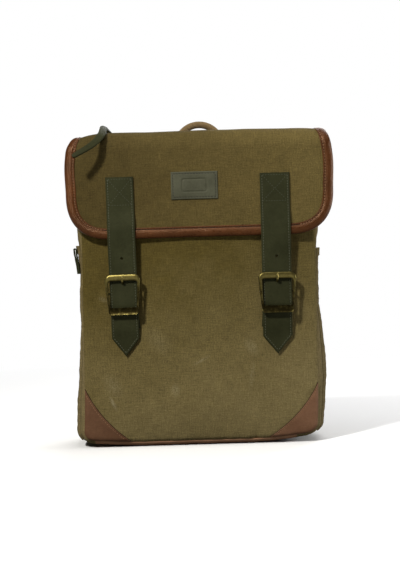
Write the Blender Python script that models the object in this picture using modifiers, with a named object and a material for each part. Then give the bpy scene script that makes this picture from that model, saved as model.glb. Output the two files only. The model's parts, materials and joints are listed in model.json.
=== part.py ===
"""Canvas backpack with a strapped flap, hollow, standing on its base.

Metres, +Z up, the front faces -Y. The origin is on the floor under the middle of the base.
"""

import math
from collections import namedtuple

import bmesh
import bpy
from mathutils import Matrix, Vector

# Walls and clearances
GAP = 0.0003
CANVAS = 0.0020
FLAP_CANVAS = 0.0024
STRAP_LEATHER = 0.0028
TAB_LEATHER = 0.0018
BINDING_LEATHER = 0.0012
PATCH_LEATHER = 0.0012
BASE_LEATHER = 0.0025

# Body
BODY_WIDTH = 0.2972
BODY_DEPTH = 0.120
BODY_TOP = 0.376
SIDE_TOP = 0.380
BACK_TOP = 0.392
BACK_CORNER = 0.020
SEAM_LIFT = 0.0062
SEAM_CORNER = 0.013
BASE_ROLL = 0.016
SIDE_ROLL = 0.040
SIDE_SWELL = 0.0098
FRONT_CROWN = 0.010
CROWN_POWER = 2.2
CROWN_RISE = 0.030
CROWN_TAPER = 0.35
BACK_CROWN = 0.004

# The bottom sags in the middle, so its two ends stand a little off the floor
END_START = 0.062
LEFT_END_RISE = 0.0030
RIGHT_END_RISE = 0.0052
END_REACH = 0.066
END_FADE = 0.026
ROW_SPREAD = 1.25

# Below this height the body leans to the left, by this slope, and its foot is shifted a little more
LEAN_TOP = 0.262
BODY_LEAN = 0.0090
FOOT_SHIFT = 0.0036
FOOT_FADE = 0.026

# Facets of the sides: up a side, round its bottom corner, and the least last facet as a share of the others
SIDE_STEPS = 19
CORNER_STEPS = 4
LEAST_STEP = 0.3

# Side pockets, which start part of the way round the corner
POCKET_START_STEPS = 2
POCKET_INSET = 0.010
POCKET_SLACK = 0.0025

# Corner patches, measured from the side seam and the bottom seam
PATCH_HEIGHT = 0.070
PATCH_WIDTH = 0.062
PATCH_HOLLOW_ACROSS = 0.019
PATCH_HOLLOW_UP = 0.028
PATCH_TRIM = 0.0004
PATCH_END_SHARE = 0.03

# Flap
FLAP_TOP = 0.4000
FLAP_BOTTOM = 0.2655
FLAP_HALF = 0.1688
FLAP_SHIFT = 0.0028
FLAP_STAND = 0.0090
FLAP_FLARE = 0.0030
FLAP_CORNER = 0.058
FLAP_CORNER_POWER = 0.8
STRAIGHT_SHARE = 0.7
FOLD_RADIUS = 0.024
ROOT_Y = 0.012
ROOT_Z = 0.3955
CURL = 0.0125
CURL_START = 0.118
CURL_RIGHT_SHARE = 0.40
CURL_LOW_SHARE = 0.28
BINDING_WIDTH = 0.0115
BINDING_PUFF = 0.0024
BINDING_SIDE_SHARE = 0.55

# Label
LABEL_WIDTH = 0.059
LABEL_HEIGHT = 0.035
LABEL_THICK = 0.0015
LABEL_X = -0.0034
LABEL_Z = 0.329

# Straps and buckles
STRAP_WIDTH = 0.038
STRAP_TOP = 0.342
STRAP_POINT = 0.0225
STRAP_CLIMB = 0.022
STRAP_STEP = 0.002
STRAP_DROP = 0.004
STRAP_REST = 0.0006
STRAP_TIP_SHARE = 0.05
ABOVE_BUCKLE = 0.006
BEHIND_BUCKLE = 0.010
KEEPER_DIP = 0.0025
HOLE_RADIUS = 0.0022
SPARE_HOLE_RISE = 0.020
TONGUE_HOLE_RADIUS = 0.0036
TAB_WIDTH = 0.035
TAB_FOOT = 0.0685
TAB_FRONT = 0.012
TAB_SHIFT = 0.0028
TAB_SLOT_SIDE = 0.0011
TAB_SLOT_HEIGHT = 0.011
TAB_SLOT_DEPTH = 0.0105
TAB_SLOT_RISE = 0.001
TAB_SLOT_OUT = 0.0030
BUCKLE_TOP_HALF = 0.0245
BUCKLE_LOW_HALF = 0.0205
BUCKLE_HEIGHT = 0.051
BUCKLE_TOP_BAR = 0.0085
BUCKLE_SIDE = 0.0041
KEEPER_HEIGHT = 0.009
BUCKLE_TOP_THICK = 0.0042
BUCKLE_LOW_THICK = 0.0030
BUCKLE_CORNER = 0.008
BUCKLE_LOW_CORNER = 0.004
WINDOW_TOP_CORNER = 0.0025
WINDOW_LOW_CORNER = 0.0020
BUCKLE_STAND = 0.0005
BAR_POWER = 0.6
HINGE_DROP = 0.024
HINGE_RADIUS = 0.0013
HINGE_GAP = 0.00045
TONGUE_RADIUS = 0.0013
TONGUE_HOLE_DROP = 0.0122
TONGUE_TIP = 0.0022
TONGUE_LAND = 0.0018
TONGUE_RISE = 0.0010
TONGUE_ENTRY = 0.0030
NOTCH_SPARE = 0.002

# Handle
HANDLE_X = 0.0045
HANDLE_RADIUS = 0.0047
HANDLE_ARC = 0.031
HANDLE_TOP = 0.4285
HANDLE_FOOT = 0.362

# Zip behind the flap, and its pull
ZIP_WIDTH = 0.024
ZIP_HALF = 0.138
ZIP_THICK = 0.0016
ZIP_DROP = 0.0012
SLIDER_X = -0.1010
SLIDER_LENGTH = 0.012
SLIDER_WIDTH = 0.008
SLIDER_HEIGHT = 0.0036
SLIDER_BEVEL = 0.0008
ZIP_WIRE = 0.0009
RING_RADIUS = 0.0048
PULLER_LENGTH = 0.016
PULLER_WIDTH = 0.0125
PULL_LEATHER = 0.0014
PULL_WIDTH = 0.0095
PULLER_TAPER = 0.7
PULL_FACING = (0.25, -1.0, 0.45)

# Loop on the left side
LOOP_Z = 0.222
LOOP_HEIGHT = 0.032
LOOP_WIDTH = 0.011
LOOP_LEATHER = 0.0014
LOOP_LEAN = 0.0006
LOOP_INSET = 0.016
LOOP_TURN = 0.0014
LOOP_LIFT = 6 * GAP
LOOP_FOOT_SHARE = 1.8
LOOP_MIDDLE_SHARE = 2.2

# Shoulder straps at the back
PAD_THICK = 0.010
PAD_TOP = 0.352
PAD_END = 0.118
PAD_TOP_X = 0.052
PAD_END_X = 0.096
PAD_TOP_WIDTH = 0.062
PAD_END_WIDTH = 0.040
PAD_BOW = 0.040
WEB_WIDTH = 0.025
WEB_THICK = 0.0018
WEB_SAG = 0.003
WEB_END_INSET = 0.0226
WEB_END_Z = 0.046
ADJUSTER_HEIGHT = 0.022
ADJUSTER_WIRE = 0.0018
ADJUSTER_SPARE = 0.001

FRONT_Y = -BODY_DEPTH / 2
BACK_Y = BODY_DEPTH / 2
BODY_HALF = BODY_WIDTH / 2
FLAP_FRONT_Y = FRONT_Y - FLAP_STAND
FOLD_START_Y = FLAP_FRONT_Y + FOLD_RADIUS
TOP_RUN = ROOT_Y - FOLD_START_Y
FOLD_RUN = FOLD_RADIUS * math.pi / 2
FRONT_RUN = FLAP_TOP - FOLD_RADIUS - FLAP_BOTTOM
FLAP_RUN = TOP_RUN + FOLD_RUN + FRONT_RUN
BINDING_OUT = FLAP_CANVAS / 2 + 2 * GAP + BINDING_LEATHER / 2
HINGE_OUT = GAP + TAB_LEATHER + HINGE_GAP + HINGE_RADIUS
TAB_WRAP = HINGE_RADIUS + HINGE_GAP + TAB_LEATHER / 2
STRAP_OUT = HINGE_OUT + TAB_WRAP + TAB_LEATHER / 2 + GAP + STRAP_LEATHER / 2

# How far the sides swell past the front seam, as shares of SIDE_SWELL, by share of BODY_TOP
Swell = namedtuple("Swell", "height left right")
SWELLS = (
    Swell(0.00, 0.90, 0.84),
    Swell(0.10, 1.05, 0.78),
    Swell(0.16, 1.02, 0.88),
    Swell(0.22, 0.77, 1.04),
    Swell(0.29, 0.60, 1.00),
    Swell(0.40, 0.20, 0.56),
    Swell(0.46, 0.14, 0.18),
    Swell(0.53, 0.14, 0.12),
    Swell(0.59, 0.05, 0.10),
    Swell(0.67, 0.49, 0.28),
    Swell(0.73, 0.90, 0.66),
    Swell(1.00, 0.60, 0.50),
)

# The flap's half width, as shares of FLAP_HALF, by share of its length from the root
Edge = namedtuple("Edge", "length half")
FLAP_EDGE = (
    Edge(0.00, 0.945),
    Edge(0.27, 0.950),
    Edge(0.44, 0.985),
    Edge(0.56, 1.000),
    Edge(0.72, 0.993),
    Edge(1.00, 0.985),
)

# The shoulder pad's distance from the back, as shares of PAD_BOW, by share of its length
Bow = namedtuple("Bow", "length bow")
PAD_BOWS = (
    Bow(0.00, 0.00),
    Bow(0.12, 0.14),
    Bow(0.34, 0.66),
    Bow(0.60, 1.00),
    Bow(0.82, 0.88),
    Bow(1.00, 0.58),
)

# What differs left and right. The front strap: its middle at the top, how far it leans inward on its way
# down, its width as a share of STRAP_WIDTH, how far the buckle slips outward, the top of the buckle, and the
# tip. Then the end of the leather base, and the top of the side pocket
Side = namedtuple("Side", "name sign x lean width slip buckle_top tip base_end pocket_top")
SIDES = (
    Side("left", -1, 0.0980, 0.0120, 0.92, 0.0004, 0.2195, 0.1160, 0.1335, 0.258),
    Side("right", 1, 0.0978, 0.0065, 0.98, 0.0, 0.2170, 0.1140, 0.1230, 0.247),
)

# The zip pull's middle line: across and depth as shares of FLAP_HALF and BODY_DEPTH, and the height over
# the flap's top as a share of FOLD_RADIUS
Pull = namedtuple("Pull", "across depth rise")
PULLS = (
    Pull(-0.682, -0.025, 0.38),
    Pull(-0.705, -0.200, 0.42),
    Pull(-0.702, -0.383, 0.22),
    Pull(-0.706, -0.583, -0.17),
    Pull(-0.757, -0.708, -0.68),
    Pull(-0.837, -0.775, -1.08),
    Pull(-0.909, -0.800, -1.37),
)

# Colour, roughness and metallic value
FINISHES = {
    "canvas": ((0.100, 0.074, 0.027), 0.92, 0.0),
    "brown": ((0.085, 0.040, 0.019), 0.55, 0.0),
    "green": ((0.036, 0.037, 0.019), 0.60, 0.0),
    "slate": ((0.075, 0.078, 0.058), 0.55, 0.0),
    "brass": ((0.150, 0.115, 0.050), 0.38, 1.0),
    "webbing": ((0.130, 0.085, 0.038), 0.85, 0.0),
    "black": ((0.018, 0.017, 0.014), 0.70, 0.0),
}


def make_collections():
    """Clears the scene and gives the collection for the parts and the one for the cutters."""
    for thing in list(bpy.data.objects):
        bpy.data.objects.remove(thing, do_unlink=True)
    parts = bpy.data.collections.new("canvas_backpack")
    cutters = bpy.data.collections.new("cutters")
    for collection in (parts, cutters):
        bpy.context.scene.collection.children.link(collection)
    return parts, cutters


PARTS, CUTTERS = make_collections()


def finish(piece, finish_name):
    """Puts the piece among the parts with a material of its own."""
    colour, roughness, metallic = FINISHES[finish_name]
    material = bpy.data.materials.new(piece.name)
    material.use_nodes = True
    shader = material.node_tree.nodes["Principled BSDF"]
    shader.inputs["Base Color"].default_value = (*colour, 1)
    shader.inputs["Roughness"].default_value = roughness
    shader.inputs["Metallic"].default_value = metallic
    piece.data.materials.append(material)
    PARTS.objects.link(piece)
    return piece


def mesh_object(name, shape):
    mesh = bpy.data.meshes.new(name)
    shape.to_mesh(mesh)
    shape.free()
    mesh.shade_smooth()
    mesh.set_sharp_from_angle(angle=math.radians(35))
    return bpy.data.objects.new(name, mesh)


def sheet(name, columns, rows, place, thickness, finish_name, offset=0.0):
    """A wall over a grid whose corners place(u, v) puts in space, u and v running from 0 to 1."""
    shape = bmesh.new()
    bmesh.ops.create_grid(shape, x_segments=columns, y_segments=rows, size=0.5)
    for corner in shape.verts:
        corner.co = place(corner.co.x + 0.5, corner.co.y + 0.5)
    piece = mesh_object(name, shape)
    wall = piece.modifiers.new("wall", "SOLIDIFY")
    wall.thickness = thickness
    wall.offset = offset
    wall.use_even_offset = True
    return finish(piece, finish_name)


def tube(name, points, radius, finish_name=None, closed=False, sides=2):
    """A round bar along straight runs between the points."""
    curve = bpy.data.curves.new(name, "CURVE")
    curve.dimensions = "3D"
    curve.bevel_depth = radius
    curve.bevel_resolution = sides
    curve.use_fill_caps = not closed
    run = curve.splines.new("POLY")
    run.points.add(len(points) - 1)
    for corner, point in zip(run.points, points):
        corner.co = (*point, 1)
    run.use_cyclic_u = closed
    bar = bpy.data.objects.new(name, curve)
    if finish_name:
        finish(bar, finish_name)
    return bar


def made_mesh(bar):
    """The bar as a mesh that a Boolean can take."""
    CUTTERS.objects.link(bar)
    bpy.context.view_layer.update()
    graph = bpy.context.evaluated_depsgraph_get()
    mesh = bpy.data.meshes.new_from_object(bar.evaluated_get(graph))
    shape = bmesh.new()
    shape.from_mesh(mesh)
    bmesh.ops.remove_doubles(shape, verts=shape.verts, dist=0.00001)
    shape.to_mesh(mesh)
    shape.free()
    solid = bpy.data.objects.new(bar.name, mesh)
    bpy.data.objects.remove(bar, do_unlink=True)
    return solid


def combine(piece, other, operation):
    """Joins a helper to the piece or cuts it away, and hides the helper."""
    CUTTERS.objects.link(other)
    other.hide_render = True
    other.display_type = "WIRE"
    step = piece.modifiers.new(other.name, "BOOLEAN")
    step.operation = operation
    step.object = other


def clamp(value, low=0.0, high=1.0):
    return max(low, min(high, value))


def eased(share):
    share = clamp(share)
    return share * share * (3 - 2 * share)


def read_table(rows, at, column):
    """The column's value at a place along the table's first column, on a smooth curve."""
    last = len(rows) - 1
    at = clamp(at, rows[0][0], rows[-1][0])
    here = max(k for k in range(last) if rows[k][0] <= at)

    def slope(k):
        before, after = rows[max(k - 1, 0)], rows[min(k + 1, last)]
        return (getattr(after, column) - getattr(before, column)) / (after[0] - before[0])

    start, end = rows[here], rows[here + 1]
    width = end[0] - start[0]
    part = (at - start[0]) / width
    bend = part * (1 - part) * width
    straight = getattr(start, column) * (1 - eased(part)) + getattr(end, column) * eased(part)
    return straight + bend * (slope(here) * (1 - part) - slope(here + 1) * part)


def spline(points, share):
    """The point at a share of a smooth curve through the points."""
    span = clamp(share, 0.0, 0.999999) * (len(points) - 1)
    here = int(span)
    part = span - here
    before, start = points[max(here - 1, 0)], points[here]
    end, after = points[here + 1], points[min(here + 2, len(points) - 1)]
    return 0.5 * (
        2 * start
        + (end - before) * part
        + (2 * before - 5 * start + 4 * end - after) * part**2
        + (3 * start - before - 3 * end + after) * part**3
    )


def front_half(z):
    """Half the front panel's width at a height, narrower round its bottom corners."""
    rise = clamp(z - SEAM_LIFT, 0.0, SEAM_CORNER)
    return BODY_HALF - SEAM_CORNER + math.sqrt(SEAM_CORNER**2 - (SEAM_CORNER - rise) ** 2)


def crown_share(z):
    rise = max(z - SEAM_LIFT, 0.0)
    return (1 - math.exp(-rise / CROWN_RISE)) * (1 - CROWN_TAPER * (rise / BODY_TOP) ** 2)


def lean_at(z):
    """How far the leaning body has shifted across at a height."""
    return -BODY_LEAN * max(LEAN_TOP - z, 0.0) - FOOT_SHIFT * math.exp(-max(z, 0.0) / FOOT_FADE)


def settled(point):
    """The point, shifted by the body's lean, and lifted where the bottom's ends stand off the floor."""
    rise = LEFT_END_RISE if point.x < 0 else RIGHT_END_RISE
    reach = max(abs(point.x) - END_START, 0.0) / END_REACH
    point.x += lean_at(point.z)
    point.z += rise * reach**2 * math.exp(-max(point.z, 0.0) / END_FADE)
    return point


def front_point(x, z, out=0.0):
    """A point on the front panel's outer face, or in front of it."""
    across = clamp(abs(x) / front_half(z))
    crown = FRONT_CROWN * (1 - across**CROWN_POWER) * crown_share(z)
    return settled(Vector((x, FRONT_Y - crown - out, z)))


def corner_grid(u, v, corner_rows, rows, top):
    """Where a grid over a panel with round bottom corners puts x and z."""
    turn = corner_rows / rows
    if v < turn:
        angle = v / turn * math.pi / 2
        half = BODY_HALF - SEAM_CORNER + SEAM_CORNER * math.sin(angle)
        z = SEAM_LIFT + SEAM_CORNER * (1 - math.cos(angle))
    else:
        half = BODY_HALF
        low = SEAM_LIFT + SEAM_CORNER
        z = low + (top - low) * ((v - turn) / (1 - turn)) ** ROW_SPREAD
    return half * (2 * u - 1), z


def make_front_panel():
    rows = 16

    def place(u, v):
        return front_point(*corner_grid(u, v, 4, rows, BODY_TOP))

    sheet("front_panel", 16, rows, place, CANVAS, "canvas", offset=-1)


def back_point(x, z, out=0.0):
    across = clamp(abs(x) / front_half(z))
    crown = BACK_CROWN * (1 - across**2) * crown_share(z)
    return settled(Vector((x, BACK_Y + crown + out, z)))


def make_back_panel():
    rows, turn = 14, 3 / 14

    def place(u, v):
        x, z = corner_grid(u, min(v, 1 - turn) / (1 - turn), 3, rows * (1 - turn), BACK_TOP - BACK_CORNER)
        if v > 1 - turn:
            angle = (v - 1 + turn) / turn * math.pi / 2
            x *= 1 - BACK_CORNER / BODY_HALF * (1 - math.cos(angle))
            z += BACK_CORNER * math.sin(angle)
        return back_point(-x, z)

    sheet("back_panel", 8, rows, place, CANVAS, "canvas", offset=-1)


CORNER_RUN = SEAM_CORNER * math.pi / 2
SIDE_RUN = SIDE_TOP - SEAM_LIFT - SEAM_CORNER


def side_seam(run):
    """The front seam as (across, up), its outward direction, and how far it has turned to the side.

    The run starts where the bottom corner does.
    """
    if run < 0:
        return Vector((BODY_HALF - SEAM_CORNER + run, SEAM_LIFT)), Vector((0, -1)), 0.0
    centre = Vector((BODY_HALF - SEAM_CORNER, SEAM_LIFT + SEAM_CORNER))
    if run < CORNER_RUN:
        angle = run / SEAM_CORNER
        out = Vector((math.sin(angle), -math.cos(angle)))
        return centre + SEAM_CORNER * out, out, 2 * angle / math.pi
    return centre + Vector((SEAM_CORNER, run - CORNER_RUN)), Vector((1, 0)), 1.0


def swell_share(depth, roll):
    """How full the side or base is at a depth behind the nearer seam."""
    return math.sqrt(1 - (1 - clamp(depth / roll)) ** 2)


def side_point(sign, run, share, out=0.0):
    """A point on a side panel's outer face, by run along its front seam and share of its depth."""
    seam, outward, turned = side_seam(run)
    inner_depth = BODY_DEPTH - 2 * (CANVAS + GAP)
    y = FRONT_Y + CANVAS + GAP + inner_depth * share
    column = "left" if sign < 0 else "right"
    swell = SIDE_SWELL * read_table(SWELLS, seam.y / BODY_TOP, column)
    full = SEAM_LIFT + (swell - SEAM_LIFT) * eased(turned)
    roll = BASE_ROLL + (SIDE_ROLL - BASE_ROLL) * eased(turned)
    depth = inner_depth * min(share, 1 - share)
    across = seam + outward * (full * swell_share(depth, roll) + out)
    return settled(Vector((sign * across.x, y, across.y)))


def depth_share(v):
    """Places a grid's rows closer together near both seams."""
    return (1 - math.cos(math.pi * v)) / 2


def side_runs(top):
    """The runs of a side's columns, round the corner and up to the top run."""
    step = SIDE_RUN / SIDE_STEPS
    count = math.ceil((top - CORNER_RUN) / step - LEAST_STEP)
    corner = [CORNER_RUN * k / CORNER_STEPS for k in range(CORNER_STEPS)]
    return corner + [CORNER_RUN + step * k for k in range(count)] + [top]


def make_side_panel(side):
    start = side.base_end + GAP - BODY_HALF + SEAM_CORNER
    runs = [start] + side_runs(CORNER_RUN + SIDE_RUN)

    def place(u, v):
        share = depth_share(v if side.sign < 0 else 1 - v)
        return side_point(side.sign, runs[round(u * (len(runs) - 1))], share)

    sheet(f"side_panel_{side.name}", len(runs) - 1, 8, place, CANVAS, "canvas", offset=-1)


def make_base():
    def place(u, v):
        depth = BODY_DEPTH / 2 - CANVAS - GAP
        y = depth * (2 * depth_share(v) - 1)
        z = SEAM_LIFT * (1 - swell_share(depth - abs(y), BASE_ROLL))
        return settled(Vector((SIDES[1].base_end * (1 - u) - SIDES[0].base_end * u, y, z)))

    sheet("base_leather", 12, 16, place, BASE_LEATHER, "brown", offset=-1)


def make_side_pocket(side):
    runs = side_runs(CORNER_RUN + side.pocket_top - SEAM_LIFT - SEAM_CORNER)[POCKET_START_STEPS:]
    inset = POCKET_INSET / BODY_DEPTH

    def place(u, v):
        share = inset + (1 - 2 * inset) * depth_share(v if side.sign < 0 else 1 - v)
        slack = POCKET_SLACK * math.sin(math.pi * share) * eased(u)
        return side_point(side.sign, runs[round(u * (len(runs) - 1))], share, 2 * GAP + slack)

    sheet(f"side_pocket_{side.name}", len(runs) - 1, 8, place, CANVAS, "canvas", offset=1)


def make_corner_patch(side):
    """A leather patch between the seam round the corner and a hollow curve."""
    low = SEAM_LIFT + SEAM_CORNER
    up_run = PATCH_HEIGHT - SEAM_CORNER
    flat_run = PATCH_WIDTH - SEAM_CORNER
    whole = up_run + CORNER_RUN + flat_run

    def rim(run):
        if run < up_run:
            return BODY_HALF - PATCH_TRIM, low + up_run - run
        if run < up_run + CORNER_RUN:
            angle = (run - up_run) / SEAM_CORNER
            across = BODY_HALF - SEAM_CORNER + (SEAM_CORNER - PATCH_TRIM) * math.cos(angle)
            return across, low - (SEAM_CORNER - PATCH_TRIM) * math.sin(angle)
        return BODY_HALF - SEAM_CORNER - (run - up_run - CORNER_RUN), SEAM_LIFT + PATCH_TRIM

    def hollow(share):
        start = Vector((0.0, PATCH_HEIGHT))
        pull = Vector((PATCH_HOLLOW_ACROSS, PATCH_HOLLOW_UP))
        end = Vector((PATCH_WIDTH, 0.0))
        at = (1 - share) ** 2 * start + 2 * share * (1 - share) * pull + share**2 * end
        return BODY_HALF - at.x, SEAM_LIFT + at.y

    def place(u, v):
        share = PATCH_END_SHARE + (1 - 2 * PATCH_END_SHARE) * u
        outer_x, outer_z = rim(whole * share)
        inner_x, inner_z = hollow(share)
        x = outer_x + (inner_x - outer_x) * v
        z = outer_z + (inner_z - outer_z) * v
        return front_point(side.sign * x, z, 2 * GAP)

    outward = 1 if side.sign < 0 else -1
    sheet(f"corner_patch_{side.name}", 14, 4, place, PATCH_LEATHER, "brown", offset=outward)


def flap_spine(run):
    """The flap's middle line as (y, z), with its outward direction, by run from the root."""
    if run < TOP_RUN:
        left = 1 - run / TOP_RUN
        slope = 2 * left * (FLAP_TOP - ROOT_Z) / TOP_RUN
        at = Vector((ROOT_Y - run, FLAP_TOP - (FLAP_TOP - ROOT_Z) * left**2))
        return at, Vector((slope, 1)).normalized()
    if run < TOP_RUN + FOLD_RUN:
        angle = (run - TOP_RUN) / FOLD_RADIUS
        out = Vector((-math.sin(angle), math.cos(angle)))
        return Vector((FOLD_START_Y, FLAP_TOP - FOLD_RADIUS)) + FOLD_RADIUS * out, out
    down = run - TOP_RUN - FOLD_RUN
    share = down / FRONT_RUN
    at = Vector((FLAP_FRONT_Y - FLAP_FLARE * share**2, FLAP_TOP - FOLD_RADIUS - down))
    return at, Vector((-1, 2 * FLAP_FLARE * share / FRONT_RUN)).normalized()


def flap_surface(x, run):
    """A point on the flap's middle surface, x from the flap's own middle."""
    at, out = flap_spine(run)
    reach = (abs(x) - CURL_START) / (FLAP_HALF - CURL_START)
    low = clamp((run - TOP_RUN - FOLD_RUN / 2) / (FLAP_RUN - TOP_RUN - FOLD_RUN))
    high_share = 1.0 if x < 0 else CURL_RIGHT_SHARE
    curl = CURL * (high_share + (CURL_LOW_SHARE - high_share) * (2 - low) * low) * max(reach, 0.0) ** 2
    at = at - out * curl
    return Vector((x + FLAP_SHIFT, at.x, at.y))


def flap_point(x, run, out=0.0):
    """A point off the flap's middle surface, along its outward normal."""
    step = 0.0005
    across = flap_surface(x + step, run) - flap_surface(x - step, run)
    along = flap_surface(x, run + step) - flap_surface(x, run - step)
    return flap_surface(x, run) + along.cross(across).normalized() * out


def flap_run_at(z):
    """The run from the root at a height on the flap's front."""
    return TOP_RUN + FOLD_RUN + FLAP_TOP - FOLD_RADIUS - z


def flap_edge(share):
    """The flap's half width and run, by share: straight down first, then round the corner."""
    straight = FLAP_RUN - FLAP_CORNER
    if share <= STRAIGHT_SHARE:
        run = straight * share / STRAIGHT_SHARE
        return FLAP_HALF * read_table(FLAP_EDGE, run / FLAP_RUN, "half"), run
    angle = (share - STRAIGHT_SHARE) / (1 - STRAIGHT_SHARE) * math.pi / 2
    full = FLAP_HALF * read_table(FLAP_EDGE, straight / FLAP_RUN, "half")
    half = full - FLAP_CORNER + FLAP_CORNER * max(math.cos(angle), 0.0) ** FLAP_CORNER_POWER
    return half, straight + FLAP_CORNER * math.sin(angle) ** FLAP_CORNER_POWER


def make_flap():
    def place(u, v):
        half, run = flap_edge(v)
        return flap_point(math.cos(math.pi * u) * half, run)

    sheet("flap", 16, 20, place, FLAP_CANVAS, "canvas")


def binding_outline(share):
    """The flap's whole edge as (x, run): down the left, along the bottom and up the right."""
    side_share = 0.4
    if share < side_share:
        half, run = flap_edge(share / side_share)
        return Vector((-half, run))
    if share > 1 - side_share:
        half, run = flap_edge((1 - share) / side_share)
        return Vector((half, run))
    half, run = flap_edge(1.0)
    return Vector((half * (2 * (share - side_share) / (1 - 2 * side_share) - 1), run))


def make_binding():
    """A folded leather strip round the flap's edge, open towards the canvas."""
    fold = (
        (BINDING_WIDTH, BINDING_OUT),
        (0.0, BINDING_OUT),
        (-BINDING_PUFF, BINDING_OUT * BINDING_SIDE_SHARE),
        (-BINDING_PUFF, -BINDING_OUT * BINDING_SIDE_SHARE),
        (0.0, -BINDING_OUT),
        (BINDING_WIDTH, -BINDING_OUT),
    )

    def place(u, v):
        step = 0.002
        here = binding_outline(u)
        ahead = binding_outline(min(u + step, 1.0)) - binding_outline(max(u - step, 0.0))
        inward = Vector((ahead.y, -ahead.x)).normalized()
        inboard, out = fold[round(v * (len(fold) - 1))]
        at = here + inward * (inboard + GAP)
        return flap_point(at.x, at.y, out)

    sheet("flap_binding", 50, len(fold) - 1, place, BINDING_LEATHER, "brown")


def make_label():
    def place(u, v):
        x = LABEL_X - FLAP_SHIFT + LABEL_WIDTH * (u - 0.5)
        run = flap_run_at(LABEL_Z) + LABEL_HEIGHT * (0.5 - v)
        return flap_point(x, run, FLAP_CANVAS / 2 + GAP + LABEL_THICK / 2)

    sheet("label", 4, 3, place, LABEL_THICK, "slate")


def strap_middle(side, z):
    """Where a strap's middle line is across the bag at a height."""
    return side.sign * (side.x - side.lean * (STRAP_TOP - z))


def strap_route(side, offset):
    """Points down a strap's middle surface, offset from its middle line: over the flap and its edge, then
    to the front."""
    on_flap = FLAP_CANVAS / 2 + GAP + STRAP_LEATHER / 2
    on_edge = BINDING_OUT + BINDING_LEATHER / 2 + 2 * GAP + STRAP_LEATHER / 2
    top = side.buckle_top
    under_tab = GAP + TAB_LEATHER + GAP + STRAP_LEATHER / 2
    tip_out = 2 * GAP + STRAP_LEATHER / 2
    climb = FLAP_BOTTOM + BINDING_WIDTH + STRAP_CLIMB

    def on_front(z, out):
        return front_point(strap_middle(side, z) + offset - lean_at(z), z, out)

    def over_flap(z, out):
        return flap_point(strap_middle(side, z) + offset - FLAP_SHIFT, flap_run_at(z), out)

    points = [over_flap(STRAP_TOP + (climb - STRAP_TOP) * k / 3, on_flap) for k in range(4)]
    points += [over_flap(FLAP_BOTTOM + BINDING_WIDTH + STRAP_STEP, on_edge)]
    edge = over_flap(FLAP_BOTTOM + STRAP_STEP, on_edge)
    below = edge.z - BINDING_PUFF - STRAP_DROP
    buckle = on_front(top + ABOVE_BUCKLE, STRAP_OUT)
    middle = (below + buckle.z) / 2
    points += [edge, Vector((strap_middle(side, below) + offset, edge.y, below))]
    points += [Vector((strap_middle(side, middle) + offset, (edge.y + buckle.y) / 2, middle)), buckle]
    points += [on_front(z, STRAP_OUT) for z in (top - BEHIND_BUCKLE, top - HINGE_DROP)]
    points += [on_front(top - HINGE_DROP - TAB_FRONT - STRAP_STEP, STRAP_OUT)]
    points += [on_front(top - BUCKLE_HEIGHT, STRAP_OUT - KEEPER_DIP)]
    points += [on_front(top - TAB_FOOT, under_tab + STRAP_REST)]
    points += [on_front(side.tip + STRAP_POINT - STRAP_REST, tip_out + STRAP_REST)]
    points += [on_front(side.tip, tip_out)]
    return points


def strap_half(side, z):
    """Half the strap's width at a height, down to its point."""
    share = clamp((z - side.tip) / STRAP_POINT, STRAP_TIP_SHARE, 1.0)
    return STRAP_WIDTH * side.width / 2 * share


def make_strap(side, buckle_frame):
    middle_route = strap_route(side, 0.0)

    def place(u, v):
        height = spline(middle_route, v).z
        return spline(strap_route(side, strap_half(side, height) * (2 * u - 1)), v)

    strap = sheet(f"strap_{side.name}", 2, 30, place, STRAP_LEATHER, "green")
    holes = (-TONGUE_HOLE_DROP, TONGUE_HOLE_RADIUS), (SPARE_HOLE_RISE, HOLE_RADIUS)
    for rise, radius in holes:
        shape = bmesh.new()
        bmesh.ops.create_cone(
            shape, cap_ends=True, segments=10, radius1=radius, radius2=radius, depth=0.030
        )
        punch = mesh_object(f"strap_hole_{side.name}", shape)
        punch.matrix_world = buckle_frame @ Matrix.Translation((0, rise, 0))
        combine(strap, punch, "DIFFERENCE")


def buckle_place(side):
    """The buckle's frame: x across, y up, z outward, its origin at the top on the strap's middle."""
    low, high = side.buckle_top - BUCKLE_HEIGHT, side.buckle_top
    slip = side.sign * side.slip
    x = strap_middle(side, high) + slip - lean_at(high)
    low_x = strap_middle(side, low) + slip - lean_at(low)
    half = STRAP_WIDTH / 2
    across = (front_point(x + half, high) - front_point(x - half, high)).normalized()
    up = (front_point(x, high) - front_point(low_x, low)).normalized()
    out = across.cross(up).normalized()
    across = up.cross(out)
    frame = Matrix((across, up, out)).transposed().to_4x4()
    frame.translation = front_point(x, high, STRAP_OUT)
    return frame


def trapezoid(top_half, low_half, top, low, top_corner, low_corner):
    """A closed outline with round corners, clockwise from the top's middle, 24 points."""
    points = []
    corners = (
        (top_half, top, top_corner, 90),
        (low_half, low, low_corner, 0),
        (-low_half, low, low_corner, -90),
        (-top_half, top, top_corner, -180),
    )
    for half, height, radius, start in corners:
        centre = Vector((half - math.copysign(radius, half), height - radius))
        if height == low:
            centre.y = height + radius
        for k in range(4):
            angle = math.radians(start - 30 * k)
            points.append(centre + radius * Vector((math.cos(angle), math.sin(angle))))
        points.append(None)
    smooth = []
    for k, point in enumerate(points):
        if point is None:
            before, after = points[k - 1], points[(k + 1) % len(points)]
            smooth += [before.lerp(after, 1 / 3), before.lerp(after, 2 / 3)]
        else:
            smooth.append(point)
    return smooth


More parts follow.
